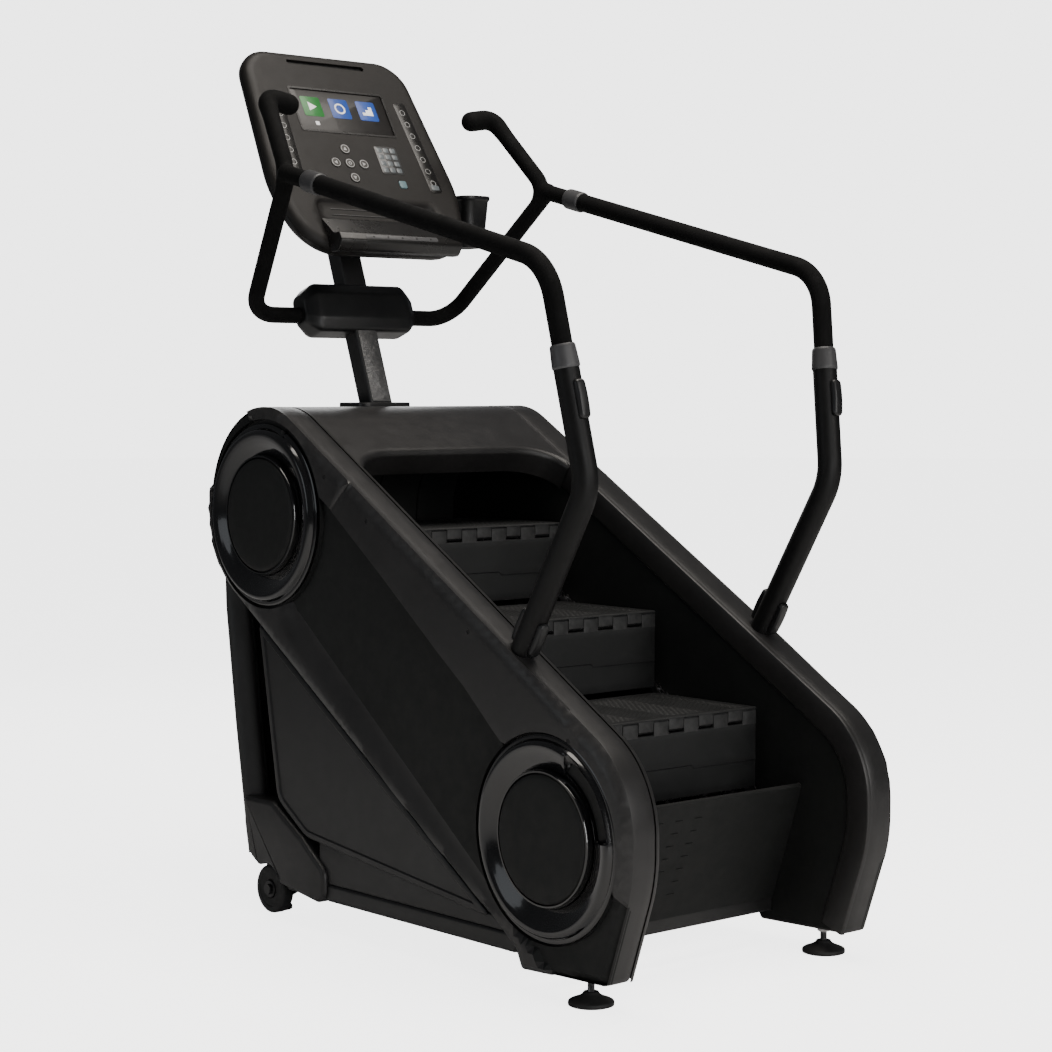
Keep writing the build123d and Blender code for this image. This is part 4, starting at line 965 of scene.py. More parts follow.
def tread_top(nose):
    """The ribbed top: a grid whose ribs run in chevrons, with a plain border and rounded edges."""
    xs = np.linspace(-TREAD_HALF, TREAD_HALF, 209)
    ys = np.concatenate((
        [0, 0.6, 2, 4.5], np.linspace(8, TREAD_DEPTH - 8, 96), [TREAD_DEPTH - 3, TREAD_DEPTH]
    ))
    vertices = []
    for x in xs:
        for y in ys:
            border = min(TREAD_HALF - abs(x), y, TREAD_DEPTH - y)
            drop = 4.5 * (1 - (1 - max(0.0, 1 - border / 4.5) ** 2) ** 0.5)
            zigzag = abs((x + CHEVRON / 2) % (2 * CHEVRON) - CHEVRON)
            phase = ((zigzag * 0.8 + y) / RIB_PITCH) % 1
            ridge = float(ease(min(phase, 1 - phase) / 0.22 - 0.5))
            field = float(ease((border - 16) / 4))
            vertices.append((x, nose[0] + y, nose[1] - drop - RIB_HEIGHT * ridge * field))
    count = len(ys)
    faces = [
        (i * count + j, i * count + j + 1, (i + 1) * count + j + 1, (i + 1) * count + j)
        for i in range(len(xs) - 1) for j in range(count - 1)
    ]
    return vertices, faces


def arc(centre, radius, first, last, steps=14):
    return [
        Vector((centre[0] + radius * cos(radians(first + (last - first) * k / steps)),
                centre[1] + radius * sin(radians(first + (last - first) * k / steps))))
        for k in range(steps + 1)
    ]


def add_steps():
    knuckle = 2 * TREAD_HALF / KNUCKLE_COUNT
    for number in range(3):
        nose = (FIRST_NOSE[0] + number * STEP_RUN, FIRST_NOSE[1] + number * STEP_RISE)
        hinge = (nose[0] + HINGE[0], nose[1] + HINGE[1])
        back = nose[0] + TREAD_DEPTH
        plate = [Vector((nose[0] + 0.3, nose[1] - 4.4)), Vector((back, nose[1] - 4.4))]
        plate += [Vector((back, nose[1] - 31))]
        plate += [Vector((hinge[0] + 18, nose[1] - 31))] + arc(hinge, RELIEF_R, 0, 96)
        parts = [tread_top(nose), prism(plate, -TREAD_HALF, TREAD_HALF)]
        for i in range(1, KNUCKLE_COUNT, 2):
            low = -TREAD_HALF + i * knuckle
            tab = [Vector((hinge[0] - KNUCKLE_R, hinge[1] - 8))] + arc(hinge, KNUCKLE_R, 232, 300)
            tab += [Vector((hinge[0] + 18, hinge[1] - 9)), Vector((hinge[0] + 18, nose[1] - 4.6))]
            tab += [Vector((nose[0] + 1.2, nose[1] - 4.6))]
            parts.append(prism(tab, low + 0.8, low + knuckle - 0.8, 1, 2))
        vertices, faces = joined(parts)
        add_piece(f"step_tread_{number + 1}", vertices, faces, "tread", "stair_run", (f"tread_{number + 1}",))
        add_riser(number + 1, nose, hinge, knuckle)


RISER_SEAM = ((-330, -118), (96, -118), (106, -126), (330, -126))
RISER_BOTTOM = -190
RISER_TOP = -37


def add_riser(number, nose, hinge, knuckle):
    half = TREAD_HALF - 2
    middle = (0, (RISER_BOTTOM + RISER_TOP) / 2)
    outline = rectangle(middle, 2 * half, RISER_TOP - RISER_BOTTOM, 4, 14)
    seam = [Vector(p) for p in RISER_SEAM]
    cut = [Vector((max(-half + 1, min(half - 1, p.x)), p.y)) for p in seam]

    def height(places):
        depth, _ = nearest(places, outline)
        gap, side = nearest(places, cut, closed=False)
        step = np.where(side > 0, 0.0, 1.0) * ease(gap / 1.5)
        rounded = 2.5 * (1 - np.sqrt(1 - np.clip(1 - depth / 2.5, 0, 1) ** 2))
        return 14.5 - rounded - 2.6 * (1 - ease(gap / 1.1)) - step

    rows = [shifted(outline, depth)[:] + [shifted(outline, depth)[0]] for depth in (0.8, 2.5)]
    rows += [shifted(cut, gap, closed=False) for gap in (-1.4, -0.5, 0.5, 1.4)]
    vertices, faces = shell(outline, [], rows, 26, height, [(0, 4), (0, -1), (2, -1.5)], [])
    placed = [(v[0], hinge[0] - v[2], nose[1] + v[1]) for v in vertices]
    parts = [(placed, faces)]
    back = [Vector((hinge[0] + 1.4, nose[1] + RISER_TOP)), Vector((hinge[0] + 1.4, nose[1] + RISER_BOTTOM))]
    back += [Vector((hinge[0] - 4, nose[1] + RISER_BOTTOM)), Vector((hinge[0] - 4, nose[1] + RISER_TOP))]
    parts.append(prism(back, -half + 2, half - 2))
    for i in range(0, KNUCKLE_COUNT, 2):
        low = -TREAD_HALF + i * knuckle
        leaf = [Vector((hinge[0] - KNUCKLE_R, nose[1] + RISER_TOP - 3))]
        leaf += [Vector((hinge[0] - KNUCKLE_R, nose[1] - 9)), Vector((hinge[0] - KNUCKLE_R + 3, nose[1] - 6))]
        leaf += arc(hinge, KNUCKLE_R, 98, 0)
        leaf += [Vector((hinge[0] + KNUCKLE_R - 4, hinge[1] - 12))]
        leaf += [Vector((hinge[0] + 1, nose[1] + RISER_TOP - 3))]
        leaf.reverse()
        parts.append(prism(leaf, max(low + 0.8, -half), min(low + knuckle - 0.8, half), 1, 2))
    vertices, faces = joined(parts)
    add_piece(f"step_riser_{number}", vertices, faces, "tread", f"riser_{number}", (f"riser_{number}",))


# ---- kick plate -------------------------------------------------------------------------------------
KICK_HALF = 318
KICK_TOP = (-648, 386)
KICK_FOOT = (-558, 118)
ROLL_R = 8
DASH_COLUMNS = (-190, -130, -70, -10)
DASH_ROWS = 7


def add_kick_plate():
    """The plate below the first step: a rolled upper edge, turned-in ends and rows of short raised dashes."""
    run = Vector(KICK_FOOT) - Vector(KICK_TOP)
    along = run.normalized()
    out = Vector((-along.y, along.x)) * -1
    centre = Vector((KICK_TOP[0] + 4.5, KICK_TOP[1] + 3))
    path = [centre + ROLL_R * Vector((cos(radians(a)), sin(radians(a)))) for a in range(-30, 171, 20)]
    path += [Vector(KICK_TOP) + along * d + out * 2.6 for d in (12, 20, 90, 170, 250, run.length)]
    columns = [-KICK_HALF, -KICK_HALF + 1, -KICK_HALF + 4] + [-280 + 40 * k for k in range(15)]
    columns += [KICK_HALF - 4, KICK_HALF - 1, KICK_HALF]
    vertices = []
    for x in columns:
        turned = max(0.0, abs(x) - (KICK_HALF - 4)) ** 2 * 0.3
        vertices += [(x, p.x + turned, p.y) for p in path]
    count = len(path)
    faces = [
        (i * count + j, i * count + j + 1, (i + 1) * count + j + 1, (i + 1) * count + j)
        for i in range(len(columns) - 1) for j in range(count - 1)
    ]
    parts = [(vertices, faces)]
    for x in DASH_COLUMNS:
        for row in range(DASH_ROWS):
            at = Vector(KICK_TOP) + along * (34 + 31 * row) + out * 3
            length = 22 - 2 * (row % 2)
            shift = -5 * row
            dash = rectangle((x + shift, 0), length, 2.6, 1.2, 1)
            dash_vertices, dash_faces = prism(dash, 0, 1.5, 0.5, 1)
            parts.append((
                [(a, at.x + along.x * b + out.x * level, at.y + along.y * b + out.y * level)
                 for level, a, b in dash_vertices], dash_faces,
            ))
    vertices, faces = joined(parts)
    add_piece("kick_panel", vertices, faces, "flat_panel", nodes=("kick_plate",), sharp=30)


add_inner_rims()
add_hood()
add_hood_liner()
add_mast_cover()
add_steps()
add_kick_plate()

# ---- sills, foot covers and rear columns ------------------------------------------------------------
SILL = ((266, 222), (-415, 146), (-452, 120), (266, 120))
SILL_X = (386, 399)
RAIL_TRIM = ((238, 121), (-470, 121), (-470, 78), (238, 78))
COVER_OUTLINE = (
    (574, 292), (572, 226), (556, 150), (500, 118), (420, 92), (262, 70), (230, 88), (232, 150),
    (330, 222), (452, 292),
)
COVER_RADII = (10, 60, 60, 60, 80, 14, 14, 40, 80, 20)
COVER_X = (354, 412)
WHEEL_CENTRE = (480, 68)
WHEEL_ARCH_R = 65
COLUMN_PATH = ((650, 850), (646, 760), (604, 470), (566, 250), (548, 150))
COLUMN_X = 372
COLUMN_R = (20, 33)


def carve(outline, centre, radius):
    """An outline whose points inside a circle are pushed out to it."""
    moved = []
    for p in outline:
        gap = p - Vector(centre)
        moved.append(Vector(centre) + gap.normalized() * radius if gap.length < radius else p)
    return moved


def add_lower_trim():
    sill = rounded_path(SILL, (2, 10, 10, 2), 20, closed=True)
    trim = rounded_path(RAIL_TRIM, (10, 10, 10, 10), 40, closed=True)
    cover = carve(rounded_path(COVER_OUTLINE, COVER_RADII, 6, closed=True), WHEEL_CENTRE, WHEEL_ARCH_R)
    for loop in (sill, trim, cover):
        if area_sign(loop) < 0:
            loop.reverse()
    column = rounded_path([(COLUMN_X, *p) for p in COLUMN_PATH], (200, 500, 500), 12)
    for side, sign in SIDES:
        for name, loop, (low, high), bevel, look, node in (
            ("sill", sill, SILL_X, 3, "panel", "side_panels"),
            ("rail_trim", trim, (388, 401), 9, "panel", "side_panels"),
            ("foot_cover", cover, COVER_X, 12, "casing", "foot_covers"),
        ):
            vertices, faces = prism(loop, low, high, bevel, 5)
            placed = [(sign * v[0], v[1], v[2]) for v in vertices]
            add_piece(f"{name}_{side}", placed, faces, look, nodes=(node,))
        across, deep = COLUMN_R

        def section(share, angle, across=across, deep=deep):
            return 1 / ((abs(cos(angle)) / across) ** 3 + (abs(sin(angle)) / deep) ** 3) ** (1 / 3)

        vertices, faces = sweep([Vector((sign * p.x, p.y, p.z)) for p in column], section, 40)
        add_piece(f"rear_column_{side}", vertices, faces, "frame", nodes=("rear_columns",))


# ---- wheels and feet --------------------------------------------------------------------------------
TYRE_PROFILE = (
    (22, 368), (22, 363), (50, 362), (56, 363.5), (59, 366.5), (60, 371), (60, 388), (59, 392.5),
    (56, 395.5), (50, 397), (44, 397), (42, 395), (24, 394), (22, 391),
)
HUB_PROFILE = ((8.2, 364), (20, 364), (21.8, 366), (21.8, 396), (20, 398), (13, 398), (12, 397), (8.2, 397))
FRONT_FOOT = (365.5, -675)
REAR_FOOT = (325, 535)
FOOT_PROFILE = (
    (0.4, 0), (0.92, 0), (0.99, 1.2), (1, 4), (1, 7.5), (0.97, 10), (0.9, 12), (0.72, 15.5), (0.55, 19),
    (0.42, 23), (0.36, 26), (0.33, 29), (0.2, 30),
)
STEM_PROFILE_R = 8


def closed_lathe(profile, centre, sign, steps):
    vertices, faces = lathe(profile, centre, sign, steps)
    count = len(profile)
    for k in range(steps):
        a = k * count
        b = (k + 1) % steps * count
        faces.append((a, b, b + count - 1, a + count - 1))
    return vertices, faces


def threaded(low, high, radius, pitch=2.5, depth=0.7):
    profile = [(0.2, low)]
    z = low
    while z < high - pitch:
        profile += [(radius - depth, z), (radius, z + pitch / 2)]
        z += pitch
    return profile + [(radius - depth, high), (0.2, high)]


def add_wheels_and_feet():
    for side, sign in SIDES:
        node = f"wheel_{side}"
        vertices, faces = closed_lathe(TYRE_PROFILE, WHEEL_CENTRE, sign, 96)
        add_piece(f"tyre_{side}", vertices, faces, "rubber", node, (node,))
        vertices, faces = closed_lathe(HUB_PROFILE, WHEEL_CENTRE, sign, 48)
        add_piece(f"wheel_hub_{side}", vertices, faces, "panel", node, (node,))
        for place, (x, y), radius, top in (("front", FRONT_FOOT, 50, 92), ("rear", REAR_FOOT, 30, 104)):
            body = f"{place}_foot_{side}"
            pad = upright([(radius * r, z) for r, z in FOOT_PROFILE], (sign * x, y), 72)
            ends = len(FOOT_PROFILE)
            pad[1].append(tuple(k * ends for k in range(72)))
            stem = upright(threaded(29, top, STEM_PROFILE_R), (sign * x, y), 32)
            nut_loop = circle((sign * x, y), 15, 6)
            nut = prism(nut_loop, 50, 60, 1.2, 2)
            nut = ([(a, b, level) for level, a, b in nut[0]], nut[1])
            vertices, faces = joined([pad])
            add_piece(f"foot_pad_{place}_{side}", vertices, faces, "rubber", body, (body,))
            vertices, faces = joined([stem, nut])
            add_piece(f"foot_stem_{place}_{side}", vertices, faces, "steel", body, (body,))


# ---- hand rails and handlebar -----------------------------------------------------------------------
RAIL_BASE = (375, -377, 590)
RAIL_LOW_BEND = (380, -679, 1103)
RAIL_HIGH_BEND = (426, -601, 1583)
JUNCTION = (419, 362, 1832)
BAR_START = (36, 660, 1501)
BAR_BEND = (322, 660, 1501)
HORN_BEND = (367, 529, 2036)
HORN_TIP = (296, 532, 2024)
BAR_R = 21.5
SLEEVE_R = 28.4
GRIP_R = 23
LOW_COLLAR = 282
TOP_COLLAR = 880
VOXEL = 3.2


def toward(a, b, distance):
    start = Vector(a)
    return start + (Vector(b) - start).normalized() * distance


def flip(points, sign):
    return [Vector((sign * p[0], p[1], p[2])) for p in points]


def ribbed(radius, flare):
    """A grip's radius along its length: a soft shoulder at each end."""
    return lambda share, angle: radius - flare * (1 - min(1, share / 0.012)) ** 2 - flare * (
        1 - min(1, (1 - share) / 0.012)) ** 2


def add_rails():
    low_collar = toward(RAIL_LOW_BEND, RAIL_HIGH_BEND, LOW_COLLAR)
    top_collar = toward(RAIL_HIGH_BEND, JUNCTION, TOP_COLLAR)
    for side, sign in SIDES:
        path = rounded_path(flip((RAIL_BASE, RAIL_LOW_BEND, low_collar), sign), (125,), 7)
        vertices, faces = sweep(path, lambda share, angle: SLEEVE_R, 48)
        add_piece(f"rail_sleeve_{side}", vertices, faces, "tube", nodes=("rail_sleeves", "hand_rails"))
        start = toward(low_collar, RAIL_HIGH_BEND, 2)
        end = toward(top_collar, RAIL_HIGH_BEND, 8)
        path = rounded_path(flip((start, RAIL_HIGH_BEND, end), sign), (120,), 7)
        vertices, faces = sweep(path, ribbed(GRIP_R, 2.5), 48)
        grip = add_piece(f"rail_grip_{side}", vertices, faces, "grip", nodes=("rail_grips",))
        for name, centre, ahead, length, outer in (
            ("low", low_collar, RAIL_HIGH_BEND, 52, SLEEVE_R + 2.8),
            ("top", top_collar, JUNCTION, 56, GRIP_R + 4),
        ):
            first = toward(centre, ahead, -length / 2)
            last = toward(centre, ahead, length / 2)
            path = [Vector(p) for p in flip([first.lerp(last, k / 16) for k in range(17)], sign)]

            def section(share, angle, outer=outer, name=name):
                lip = 2.2 * (1 - min(1, share / 0.1)) ** 2 + 2.2 * (1 - min(1, (1 - share) / 0.1)) ** 2
                taper = 3.4 * share if name == "low" else 0
                return outer - lip - taper

            vertices, faces = sweep(path, section, 56)
            add_piece(f"{name}_collar_{side}", vertices, faces, "collar", nodes=("rail_collars",))
        add_clamps(side, sign)
        add_boot(side, sign)


def add_clamps(side, sign):
    """Curved pads screwed against the sleeve at the foot of the rail and above its bend."""
    parts = []
    low = toward(RAIL_BASE, RAIL_LOW_BEND, 222)
    high = toward(RAIL_LOW_BEND, RAIL_HIGH_BEND, 186)
    for centre, ahead, ways in ((low, RAIL_LOW_BEND, (-1, 1)), (high, RAIL_HIGH_BEND, (1,))):
        along = (Vector(ahead) - Vector(centre)).normalized()
        across = Vector((1, 0, 0))
        out = along.cross(across).normalized()
        across = out.cross(along).normalized()
        for way in ways:
            loop = rectangle((0, 0), 27, 86, 9, 3)
            vertices, faces = prism(loop, SLEEVE_R - 5, SLEEVE_R + 12.5, 6, 4)
            placed = []
            for level, a, b in vertices:
                bowed = level - 3.5 * (b / 43) ** 2 * (1 if level > SLEEVE_R + 2 else 0)
                p = Vector(centre) + across * a + along * b + out * bowed * -way
                placed.append((sign * p.x, p.y, p.z))
            parts.append((placed, faces))
    vertices, faces = joined(parts)
    add_piece(f"rail_clamps_{side}", vertices, faces, "panel", nodes=("rail_clamps",))


BOOT = (104, 84)


def add_boot(side, sign):
    """The moulded tongue round the foot of the rail, lying on the casing's sloping top."""
    slope = Vector((0, 1263, 756)).normalized()
    up = Vector((0, -slope.z, slope.y))
    foot = Vector((377.5, -447, 709.5))
    loop = rectangle((0, 0), BOOT[0], BOOT[1], 34, 4)
    vertices, faces = prism(loop, -3, 2.6, 2.4, 4)
    placed = []
    for level, a, b in vertices:
        p = foot + slope * a + Vector((1, 0, 0)) * b + up * level
        placed.append((sign * p.x, p.y, p.z))
    add_piece(f"rail_boot_{side}", placed, faces, "casing")


def add_handlebar():
    """The loop, its horns and the rail stubs as one foam skin with soft crotches."""
    parts = []
    top_collar = toward(RAIL_HIGH_BEND, JUNCTION, TOP_COLLAR)
    for sign in (-1, 1):
        bar = rounded_path(flip((BAR_START, BAR_BEND, JUNCTION), sign), (85,), 8)
        parts.append(sweep(bar, lambda share, angle: BAR_R, 28))
        corners = (toward(JUNCTION, BAR_BEND, 40), JUNCTION, HORN_BEND, HORN_TIP)
        horn = rounded_path(flip(corners, sign), (60, 34), 6)
        parts.append(sweep(horn, lambda share, angle: BAR_R + 5.5 * float(ease((share - 0.62) / 0.3)), 28))
        parts.append(ball((sign * HORN_TIP[0], HORN_TIP[1], HORN_TIP[2]), BAR_R + 5.5))
        stub = [toward(JUNCTION, RAIL_HIGH_BEND, d) for d in (-14, 20, 50)] + [top_collar]
        parts.append(sweep(flip(stub, sign), lambda share, angle: BAR_R, 28))
        parts.append(ball((sign * JUNCTION[0], JUNCTION[1], JUNCTION[2]), BAR_R + 3))
    skin = fused("handlebar_skin", parts, VOXEL, 14)
    bar = finish_piece("handlebar_skin", skin, "grip", nodes=("handlebar",), sharp=80)


# ---- crossbar housing and mast plate ----------------------------------------------------------------
MAST_FOOT = (550.6, 1236)
MAST_LEAN = 19.5
HOUSING_HALF = 177
HOUSING_AT = 296
HOUSING_SECTION = ((-66, -34), (66, -34), (66, 44), (34, 58), (-34, 58), (-66, 44))
MAST_PLATE = (36, 232, 30)


def mast_point(x, side, along):
    """A point given across the mast, forward of its middle and up its length."""
    lean = radians(MAST_LEAN)
    y = MAST_FOOT[0] + along * sin(lean) + side * cos(lean)
    return (x, y, MAST_FOOT[1] + along * cos(lean) - side * sin(lean))


def add_housing():
    """The hexagonal shroud over the clamp, its ends drawn in."""
    loop = rounded_path(HOUSING_SECTION, (26, 26, 16, 16, 16, 16), 4, closed=True)
    stations = [(HOUSING_HALF, 0.0), (HOUSING_HALF - 1, 0.12), (HOUSING_HALF - 4, 0.3)]
    stations += [(HOUSING_HALF - 28, 0.86), (HOUSING_HALF - 34, 0.95), (HOUSING_HALF - 42, 1), (0, 1)]
    levels = [(-x, share) for x, share in stations] + [(x, share) for x, share in reversed(stations[:-1])]
    middle = Vector((0, 8))
    vertices = []
    for x, share in levels:
        scale = 0.46 + 0.54 * share
        vertices += [
            mast_point(x, -(middle.y + (p.y - middle.y) * scale) + 16, HOUSING_AT + p.x * scale) for p in loop
        ]
    count = len(loop)
    faces = [
        (i * count + k, i * count + (k + 1) % count, (i + 1) * count + (k + 1) % count, (i + 1) * count + k)
        for i in range(len(levels) - 1) for k in range(count)
    ]
    faces += [tuple(range(count)), tuple((len(levels) - 1) * count + k for k in range(count))]
    add_piece("crossbar_shroud", vertices, faces, "panel", nodes=("crossbar_housing",), sharp=50)


def add_mast_plate():
    low, high, half = MAST_PLATE
    plate = prism(rectangle((0, (low + high) / 2), 2 * half, high - low, 5, 6), 27.4, 29.2, 0.8, 2)
    placed = [mast_point(a, -level, b) for level, a, b in plate[0]]
    add_piece("mast_plate", placed, plate[1], "hammered")


add_lower_trim()
add_wheels_and_feet()
add_rails()
add_handlebar()
add_housing()
add_mast_plate()

# ---- mast, console and bottle holder ----------------------------------------------------------------
MAST_SIZE = (70, 54)
MAST_LENGTH = 690
CONSOLE_AT = (0, 541, 1696)
CONSOLE_LEAN = 30.3
CONSOLE_OUTLINE = ((-262, 572), (262, 572), (303, 150), (262, -52), (-262, -52), (-303, 150))
CONSOLE_RADII = (95, 95, 300, 140, 140, 300)
FACE_W = 31
FACE_ROUND = 26
BACK_W = -20
BACK_ROUND = 30
BACK_BULGES = ((235, 40, 300, 40), (75, 150, 330, 125))
DISPLAY = (0, 383, 298, 130)
SLOT = (0, 535, 252, 14)
LIP_PROFILE = ((46, 30), (-26, 60), (-32, 80), (-58, 80), (-74, 52), (-60, 26), (0, 26))
LIP_RADII = (2, 14, 6, 10, 16, 8, 2)
LIP_HALF = 196
RACK = (0, 38, 392, 126)
RACK_DEPTH = 7
KEY_R = 15
KEY_FRONT_W = 33.4
NAV_CENTRE = (-38, 217)
NAV_KEYS = (
    ("select", 0, 0, None), ("up", 0, 45, 90), ("down", 0, -45, 270), ("left", -45, 0, 180),
    ("right", 45, 0, 0),
)
STOP_KEY = (115, 160, 24)
KEYPAD = (98, 236, 72, 88)
STRIPS = (-213, 213)
STRIP_SIZE = (285, 40, 290)
STRIP_TILT = 4
TILES = ((-94, "green"), (-4, "blue"), (86, "blue"))
TILE_AT = 394
TILE_SIZE = 62
HOLDER_AT = (353, 622)
HOLDER_LEVELS = (
    (1692, 0.66), (1693, 0.71), (1697, 0.735), (1760, 0.84), (1818, 0.93), (1820, 0.955), (1822, 0.995),
    (1828, 1.0), (1831, 0.985), (1832, 0.965), (1832, 0.905), (1830, 0.89),
    (1800, 0.84), (1704, 0.67), (1698, 0.6),
)
HOLDER_SIZE = (94, 124)


def on_console(vertices):
    """Console places (u across, v up the face, w out of it) in the machine's frame."""
    lean = radians(CONSOLE_LEAN)
    _, y, z = CONSOLE_AT
    return [(u, y + v * sin(lean) - w * cos(lean), z + v * cos(lean) + w * sin(lean)) for u, v, w in vertices]


def plate(loop, low, high, bevel=0.5, levels=2):
    """A flat piece on the console: an outline in (u, v) from w = low to w = high."""
    if area_sign(loop) < 0:
        loop = list(reversed(loop))
    vertices, faces = prism(loop, low, high, bevel, levels)
    return [(a, b, level) for level, a, b in vertices], faces


def add_on_console(name, parts, look, body="machine", nodes=(), sharp=38):
    vertices, faces = joined(parts)
    return add_piece(name, on_console(vertices), faces, look, body, nodes, sharp)


def annulus(centre, outer, inner, low, high):
    rims = [circle(centre, radius, 40) for radius in (outer, inner)]
    return shell(rims[0], rims[1:], [], 9, lambda p: np.full(len(p), high), [(0, low)], [(0, low)])


def turned(points, centre, angle):
    c = cos(radians(angle))
    s = sin(radians(angle))
    return [Vector((centre[0] + x * c - y * s, centre[1] + x * s + y * c)) for x, y in points]


def add_mast():
    tube = prism(rectangle((0, 0), *MAST_SIZE, 6, 3), 0, MAST_LENGTH, 1, 2)
    placed = [mast_point(a, b, level) for level, a, b in tube[0]]
    add_piece("mast_tube", placed, tube[1], "frame", nodes=("mast",))


def add_console_shells():
    outline = rounded_path(CONSOLE_OUTLINE, CONSOLE_RADII, 7, closed=True)
    if area_sign(outline) < 0:
        outline.reverse()
    rack = rectangle(RACK[:2], RACK[2], RACK[3], 26, 8)
    keys = [circle((NAV_CENTRE[0] + du, NAV_CENTRE[1] + dv), KEY_R + 0.5, 36) for _, du, dv, _ in NAV_KEYS]
    holes = [rectangle(DISPLAY[:2], DISPLAY[2], DISPLAY[3], 3, 10)]
    holes += [rectangle(SLOT[:2], SLOT[2], SLOT[3], 6.5, 4)]
    holes += keys + [rectangle(STOP_KEY[:2], STOP_KEY[2] + 1, STOP_KEY[2] + 1, 4, 4)]

    def face_height(places):
        depth, _ = nearest(places, outline)
        in_rack, _ = nearest(places, rack)
        well = np.where(inside(places, rack), ease(in_rack / 9), 0.0)
        rounded = 1 - np.sqrt(1 - np.clip(1 - depth / FACE_ROUND, 0, 1) ** 2)
        return FACE_W - 21 * rounded - RACK_DEPTH * well

    rows = []
    for depth in (1, 3, 6, 10, 15, 20, 26, 30):
        loop = shifted(outline, depth)
        rows.append(loop + [loop[0]])
    for gap in (0.0, 3, 6, 9):
        loop = shifted(rack, gap * area_sign(rack)) if gap else list(rack)
        rows.append(loop + [loop[0]])
    front = shell(outline, holes, rows, 16, face_height, [(0, 9), (0.8, 8), (14, 8)], [(0, 29.5), (0.4, 22)])
    add_on_console("console_front", [front], "console", nodes=("console_bezel",), sharp=40)

    def back_height(places):
        depth, _ = nearest(places, outline)
        return BACK_W + 20 * (1 - np.sqrt(1 - np.clip(1 - depth / BACK_ROUND, 0, 1) ** 2))

    rows = []
    for depth in (1, 3, 7, 12, 18, 24, 30, 36):
        loop = shifted(outline, depth)
        rows.append(loop + [loop[0]])
    parts = [shell(outline, [], rows, 24, back_height, [(0, 5), (0.8, 7.2), (14, 7.2)], [])]
    for half, low, high, depth in BACK_BULGES:
        loop = rectangle((0, (low + high) / 2), 2 * half, high - low, 34, 8)
        parts.append(plate(loop, BACK_W - depth, BACK_W + 4, 22 if depth > 60 else 14, 6))
    add_on_console("console_rear", parts, "console_rim", nodes=("console_back",), sharp=50)


def add_console_lip():
    loop = rounded_path(LIP_PROFILE, LIP_RADII, 4, closed=True)
    if area_sign(loop) < 0:
        loop.reverse()
    lip = prism(loop, -LIP_HALF, LIP_HALF, 2.5, 3)
    add_on_console("console_lip", [lip], "console_rim", nodes=("console_bezel",), sharp=40)
    bar = plate(rectangle((0, -45), 232, 13, 4, 4), 79, 81, 0.6)
    add_on_console("port_bar", [bar], "collar")
    # Near-black discs stand for the port holes: painted shade.
    ports = [plate(circle((u, -45), 3, 20), 80.6, 81.3, 0.2) for u in (-92, -46, 0, 46, 92)]
    add_on_console("port_holes_painted_shade", ports, "dark")
    ribs = [plate(rectangle((0, v), 300, 3, 1.4, 5), 23.4, 25.6, 0.9) for v in (2, 20, 38, 56, 74)]
    add_on_console("rack_ribs", ribs, "membrane")


def add_display():
    glass = plate(rectangle(DISPLAY[:2], DISPLAY[2] - 1, DISPLAY[3] - 1, 3, 10), 14, 29.6, 0.6)
    add_on_console("display_glass", [glass], "screen_screen", nodes=("display",))
    frame_ring = shell(
        rectangle(DISPLAY[:2], DISPLAY[2] + 12, DISPLAY[3] + 12, 8, 6),
        [rectangle(DISPLAY[:2], DISPLAY[2], DISPLAY[3], 3, 6)], [], 20,
        lambda p: np.full(len(p), FACE_W + 1.1), [(0, FACE_W - 0.4)], [(0, 29)],
    )
    add_on_console("display_border", [frame_ring], "console_rim")
    # The slot's floor is near-black: painted shade in the recess.
    slot_floor = plate(rectangle(SLOT[:2], SLOT[2] + 3, SLOT[3] + 3, 6, 4), 19, 23, 0.4)
    add_on_console("card_slot_painted_shade", [slot_floor], "dark")
    for number, (u, colour) in enumerate(TILES):
        tile = plate(rectangle((u, TILE_AT), TILE_SIZE, TILE_SIZE, 5, 4), 29.4, 30.2, 0.3)
        add_on_console(f"tile_{number + 1}", [tile], f"screen_{colour}")
    play = plate(turned(((-11, -14), (15, 0), (-11, 14)), (TILES[0][0], TILE_AT), 0), 30.1, 30.6, 0.1)
    dial = annulus((TILES[1][0], TILE_AT), 17, 12, 30.1, 30.6)
    stair = [(-17, -14), (17, -14), (17, 14), (6, 14), (6, 4), (-5, 4), (-5, -5), (-17, -5)]
    steps = plate(turned(stair, (TILES[2][0], TILE_AT), 0), 30.1, 30.6, 0.1)
    square = plate(rectangle((TILES[0][0], 341), 12, 12, 1.5, 3), 29.4, 30.1, 0.2)
    add_on_console("tile_signs", [play, dial, steps], "screen_white")
    add_on_console("home_sign", [square], "screen_white")


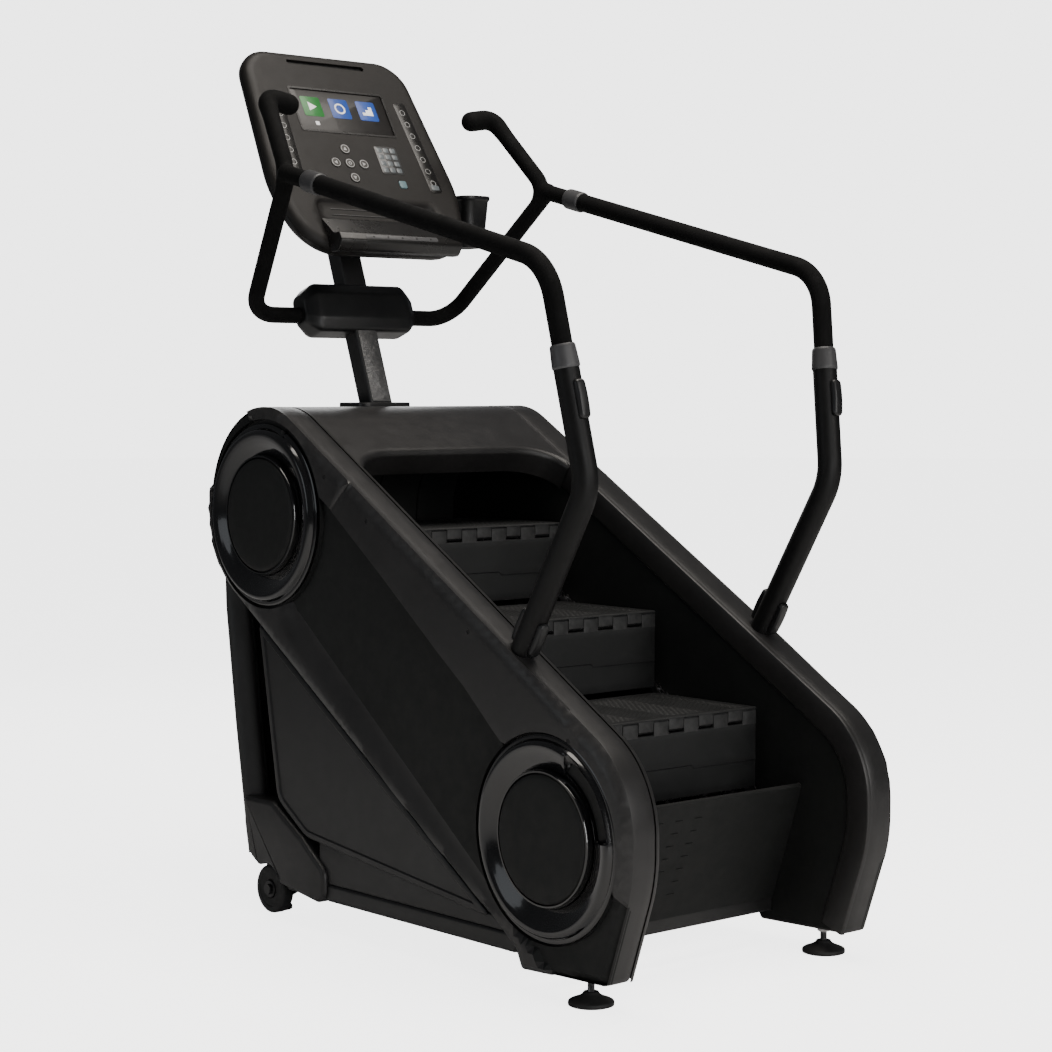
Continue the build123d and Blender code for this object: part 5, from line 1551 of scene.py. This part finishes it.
def add_keys():
    for name, du, dv, angle in NAV_KEYS:
        centre = (NAV_CENTRE[0] + du, NAV_CENTRE[1] + dv)
        body = f"nav_key_{name}"
        cap = plate(circle(centre, KEY_R - 0.3, 40), 20, KEY_FRONT_W, 1.6, 4)
        add_on_console(f"{body}_cap", [cap], "key", body, (body,))
        marks = [annulus(centre, 12.8, 11.2, KEY_FRONT_W - 0.4, KEY_FRONT_W + 0.25)]
        if angle is None:
            marks.append(annulus(centre, 5, 3, KEY_FRONT_W - 0.4, KEY_FRONT_W + 0.25))
        else:
            arrow = turned(((-4, -5.5), (6, 0), (-4, 5.5)), centre, angle)
            marks.append(plate(arrow, KEY_FRONT_W - 0.4, KEY_FRONT_W + 0.25, 0.1))
        add_on_console(f"{body}_sign", marks, "mark", body)
    stop = plate(rectangle(STOP_KEY[:2], STOP_KEY[2] - 0.6, STOP_KEY[2] - 0.6, 5, 3), 20, KEY_FRONT_W, 1.6, 4)
    add_on_console("stop_key_cap", [stop], "teal", "stop_key", ("stop_key",))
    film = plate(rectangle(KEYPAD[:2], KEYPAD[2], KEYPAD[3], 5, 5), 30.8, 31.9, 0.4)
    add_on_console("keypad_film", [film], "membrane", nodes=("key_membranes",))
    pads = [
        plate(rectangle((KEYPAD[0] + 22 * i, KEYPAD[1] + 21 * j), 17, 15, 3, 3), 31.7, 32.5, 0.4)
        for i in (-1, 0, 1) for j in (-1.5, -0.5, 0.5, 1.5)
    ]
    add_on_console("keypad_buttons", pads, "keypad")
    middle, width, length = STRIP_SIZE
    strips = []
    signs = []
    for u in STRIPS:
        tilt = STRIP_TILT * (1 if u > 0 else -1)
        strips.append(plate(rectangle((u, middle), width, length, 8, 8, tilt), 30.8, 31.9, 0.4))
        for k in range(-3, 4):
            along = k * 38
            place = (u - along * sin(radians(tilt)), middle + along * cos(radians(tilt)))
            signs.append(annulus(place, 8.5, 7.2, 31.7, 32.2))
    add_on_console("side_strips", strips, "console_rim", nodes=("key_membranes",))
    add_on_console("strip_signs", signs, "mark")
    tile = plate(rectangle((STRIPS[1] + 9, middle - 128), 26, 16, 3, 3), 31.7, 32.3, 0.2)
    add_on_console("pale_tile", [tile], "keypad")


def add_bottle_holder():
    vertices = []
    across, deep = HOLDER_SIZE
    for z, scale in HOLDER_LEVELS:
        loop = rectangle((0, 0), across, deep, 30, 5)
        vertices += [(HOLDER_AT[0] + p.x * scale, HOLDER_AT[1] + p.y * scale, z) for p in loop]
    count = len(rectangle((0, 0), across, deep, 30, 5))
    faces = [
        (i * count + k, i * count + (k + 1) % count, (i + 1) * count + (k + 1) % count, (i + 1) * count + k)
        for i in range(len(HOLDER_LEVELS) - 1) for k in range(count)
    ]
    faces += [tuple(range(count)), tuple((len(HOLDER_LEVELS) - 1) * count + k for k in range(count))]
    arm = prism(rectangle((626, 1760), 25, 29, 6, 4), 242, 322, 3, 3)
    vertices, faces = joined([(vertices, faces), arm])
    add_piece("bottle_cup", vertices, faces, "panel", nodes=("bottle_holder",), sharp=50)


add_mast()
add_console_shells()
add_console_lip()
add_display()
add_keys()
add_bottle_holder()

# ---- materials of the CAD nodes that stay in view ---------------------------------------------------
NODE_LOOKS = {name: "panel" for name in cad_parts}
for look, names in {
    "frame": "base_frame crossmembers side_plates wheel_axles",
    "alloy": "shaft_bearings alternator drive_pulley alternator_pulley",
    "steel": "step_pins upper_chains return_chains top_shaft bottom_shaft",
    "rubber": "drive_belt wheel_left wheel_right front_foot_left front_foot_right rear_foot_left"
              " rear_foot_right",
    "casing": "rear_hood foot_covers",
    "flat_panel": "side_liners hood_liner kick_plate rear_cover rear_columns",
    "tread": "tread_1 tread_2 tread_3 riser_1 riser_2 riser_3 return_steps",
    "tube": "mast hand_rails rail_sleeves handlebar",
    "grip": "rail_grips",
    "collar": "rail_collars",
    "console": "console_bezel",
    "console_rim": "console_back",
    "screen_screen": "display",
    "keypad": "key_membranes",
    "key": "nav_key_up nav_key_down nav_key_left nav_key_right nav_key_select",
    "teal": "stop_key",
    "dark": "casing_screws",
}.items():
    NODE_LOOKS.update({name: look for name in names.split()})

for name, look in NODE_LOOKS.items():
    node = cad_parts[name]
    node.data.materials.clear()
    node.data.materials.append(LOOKS[look])
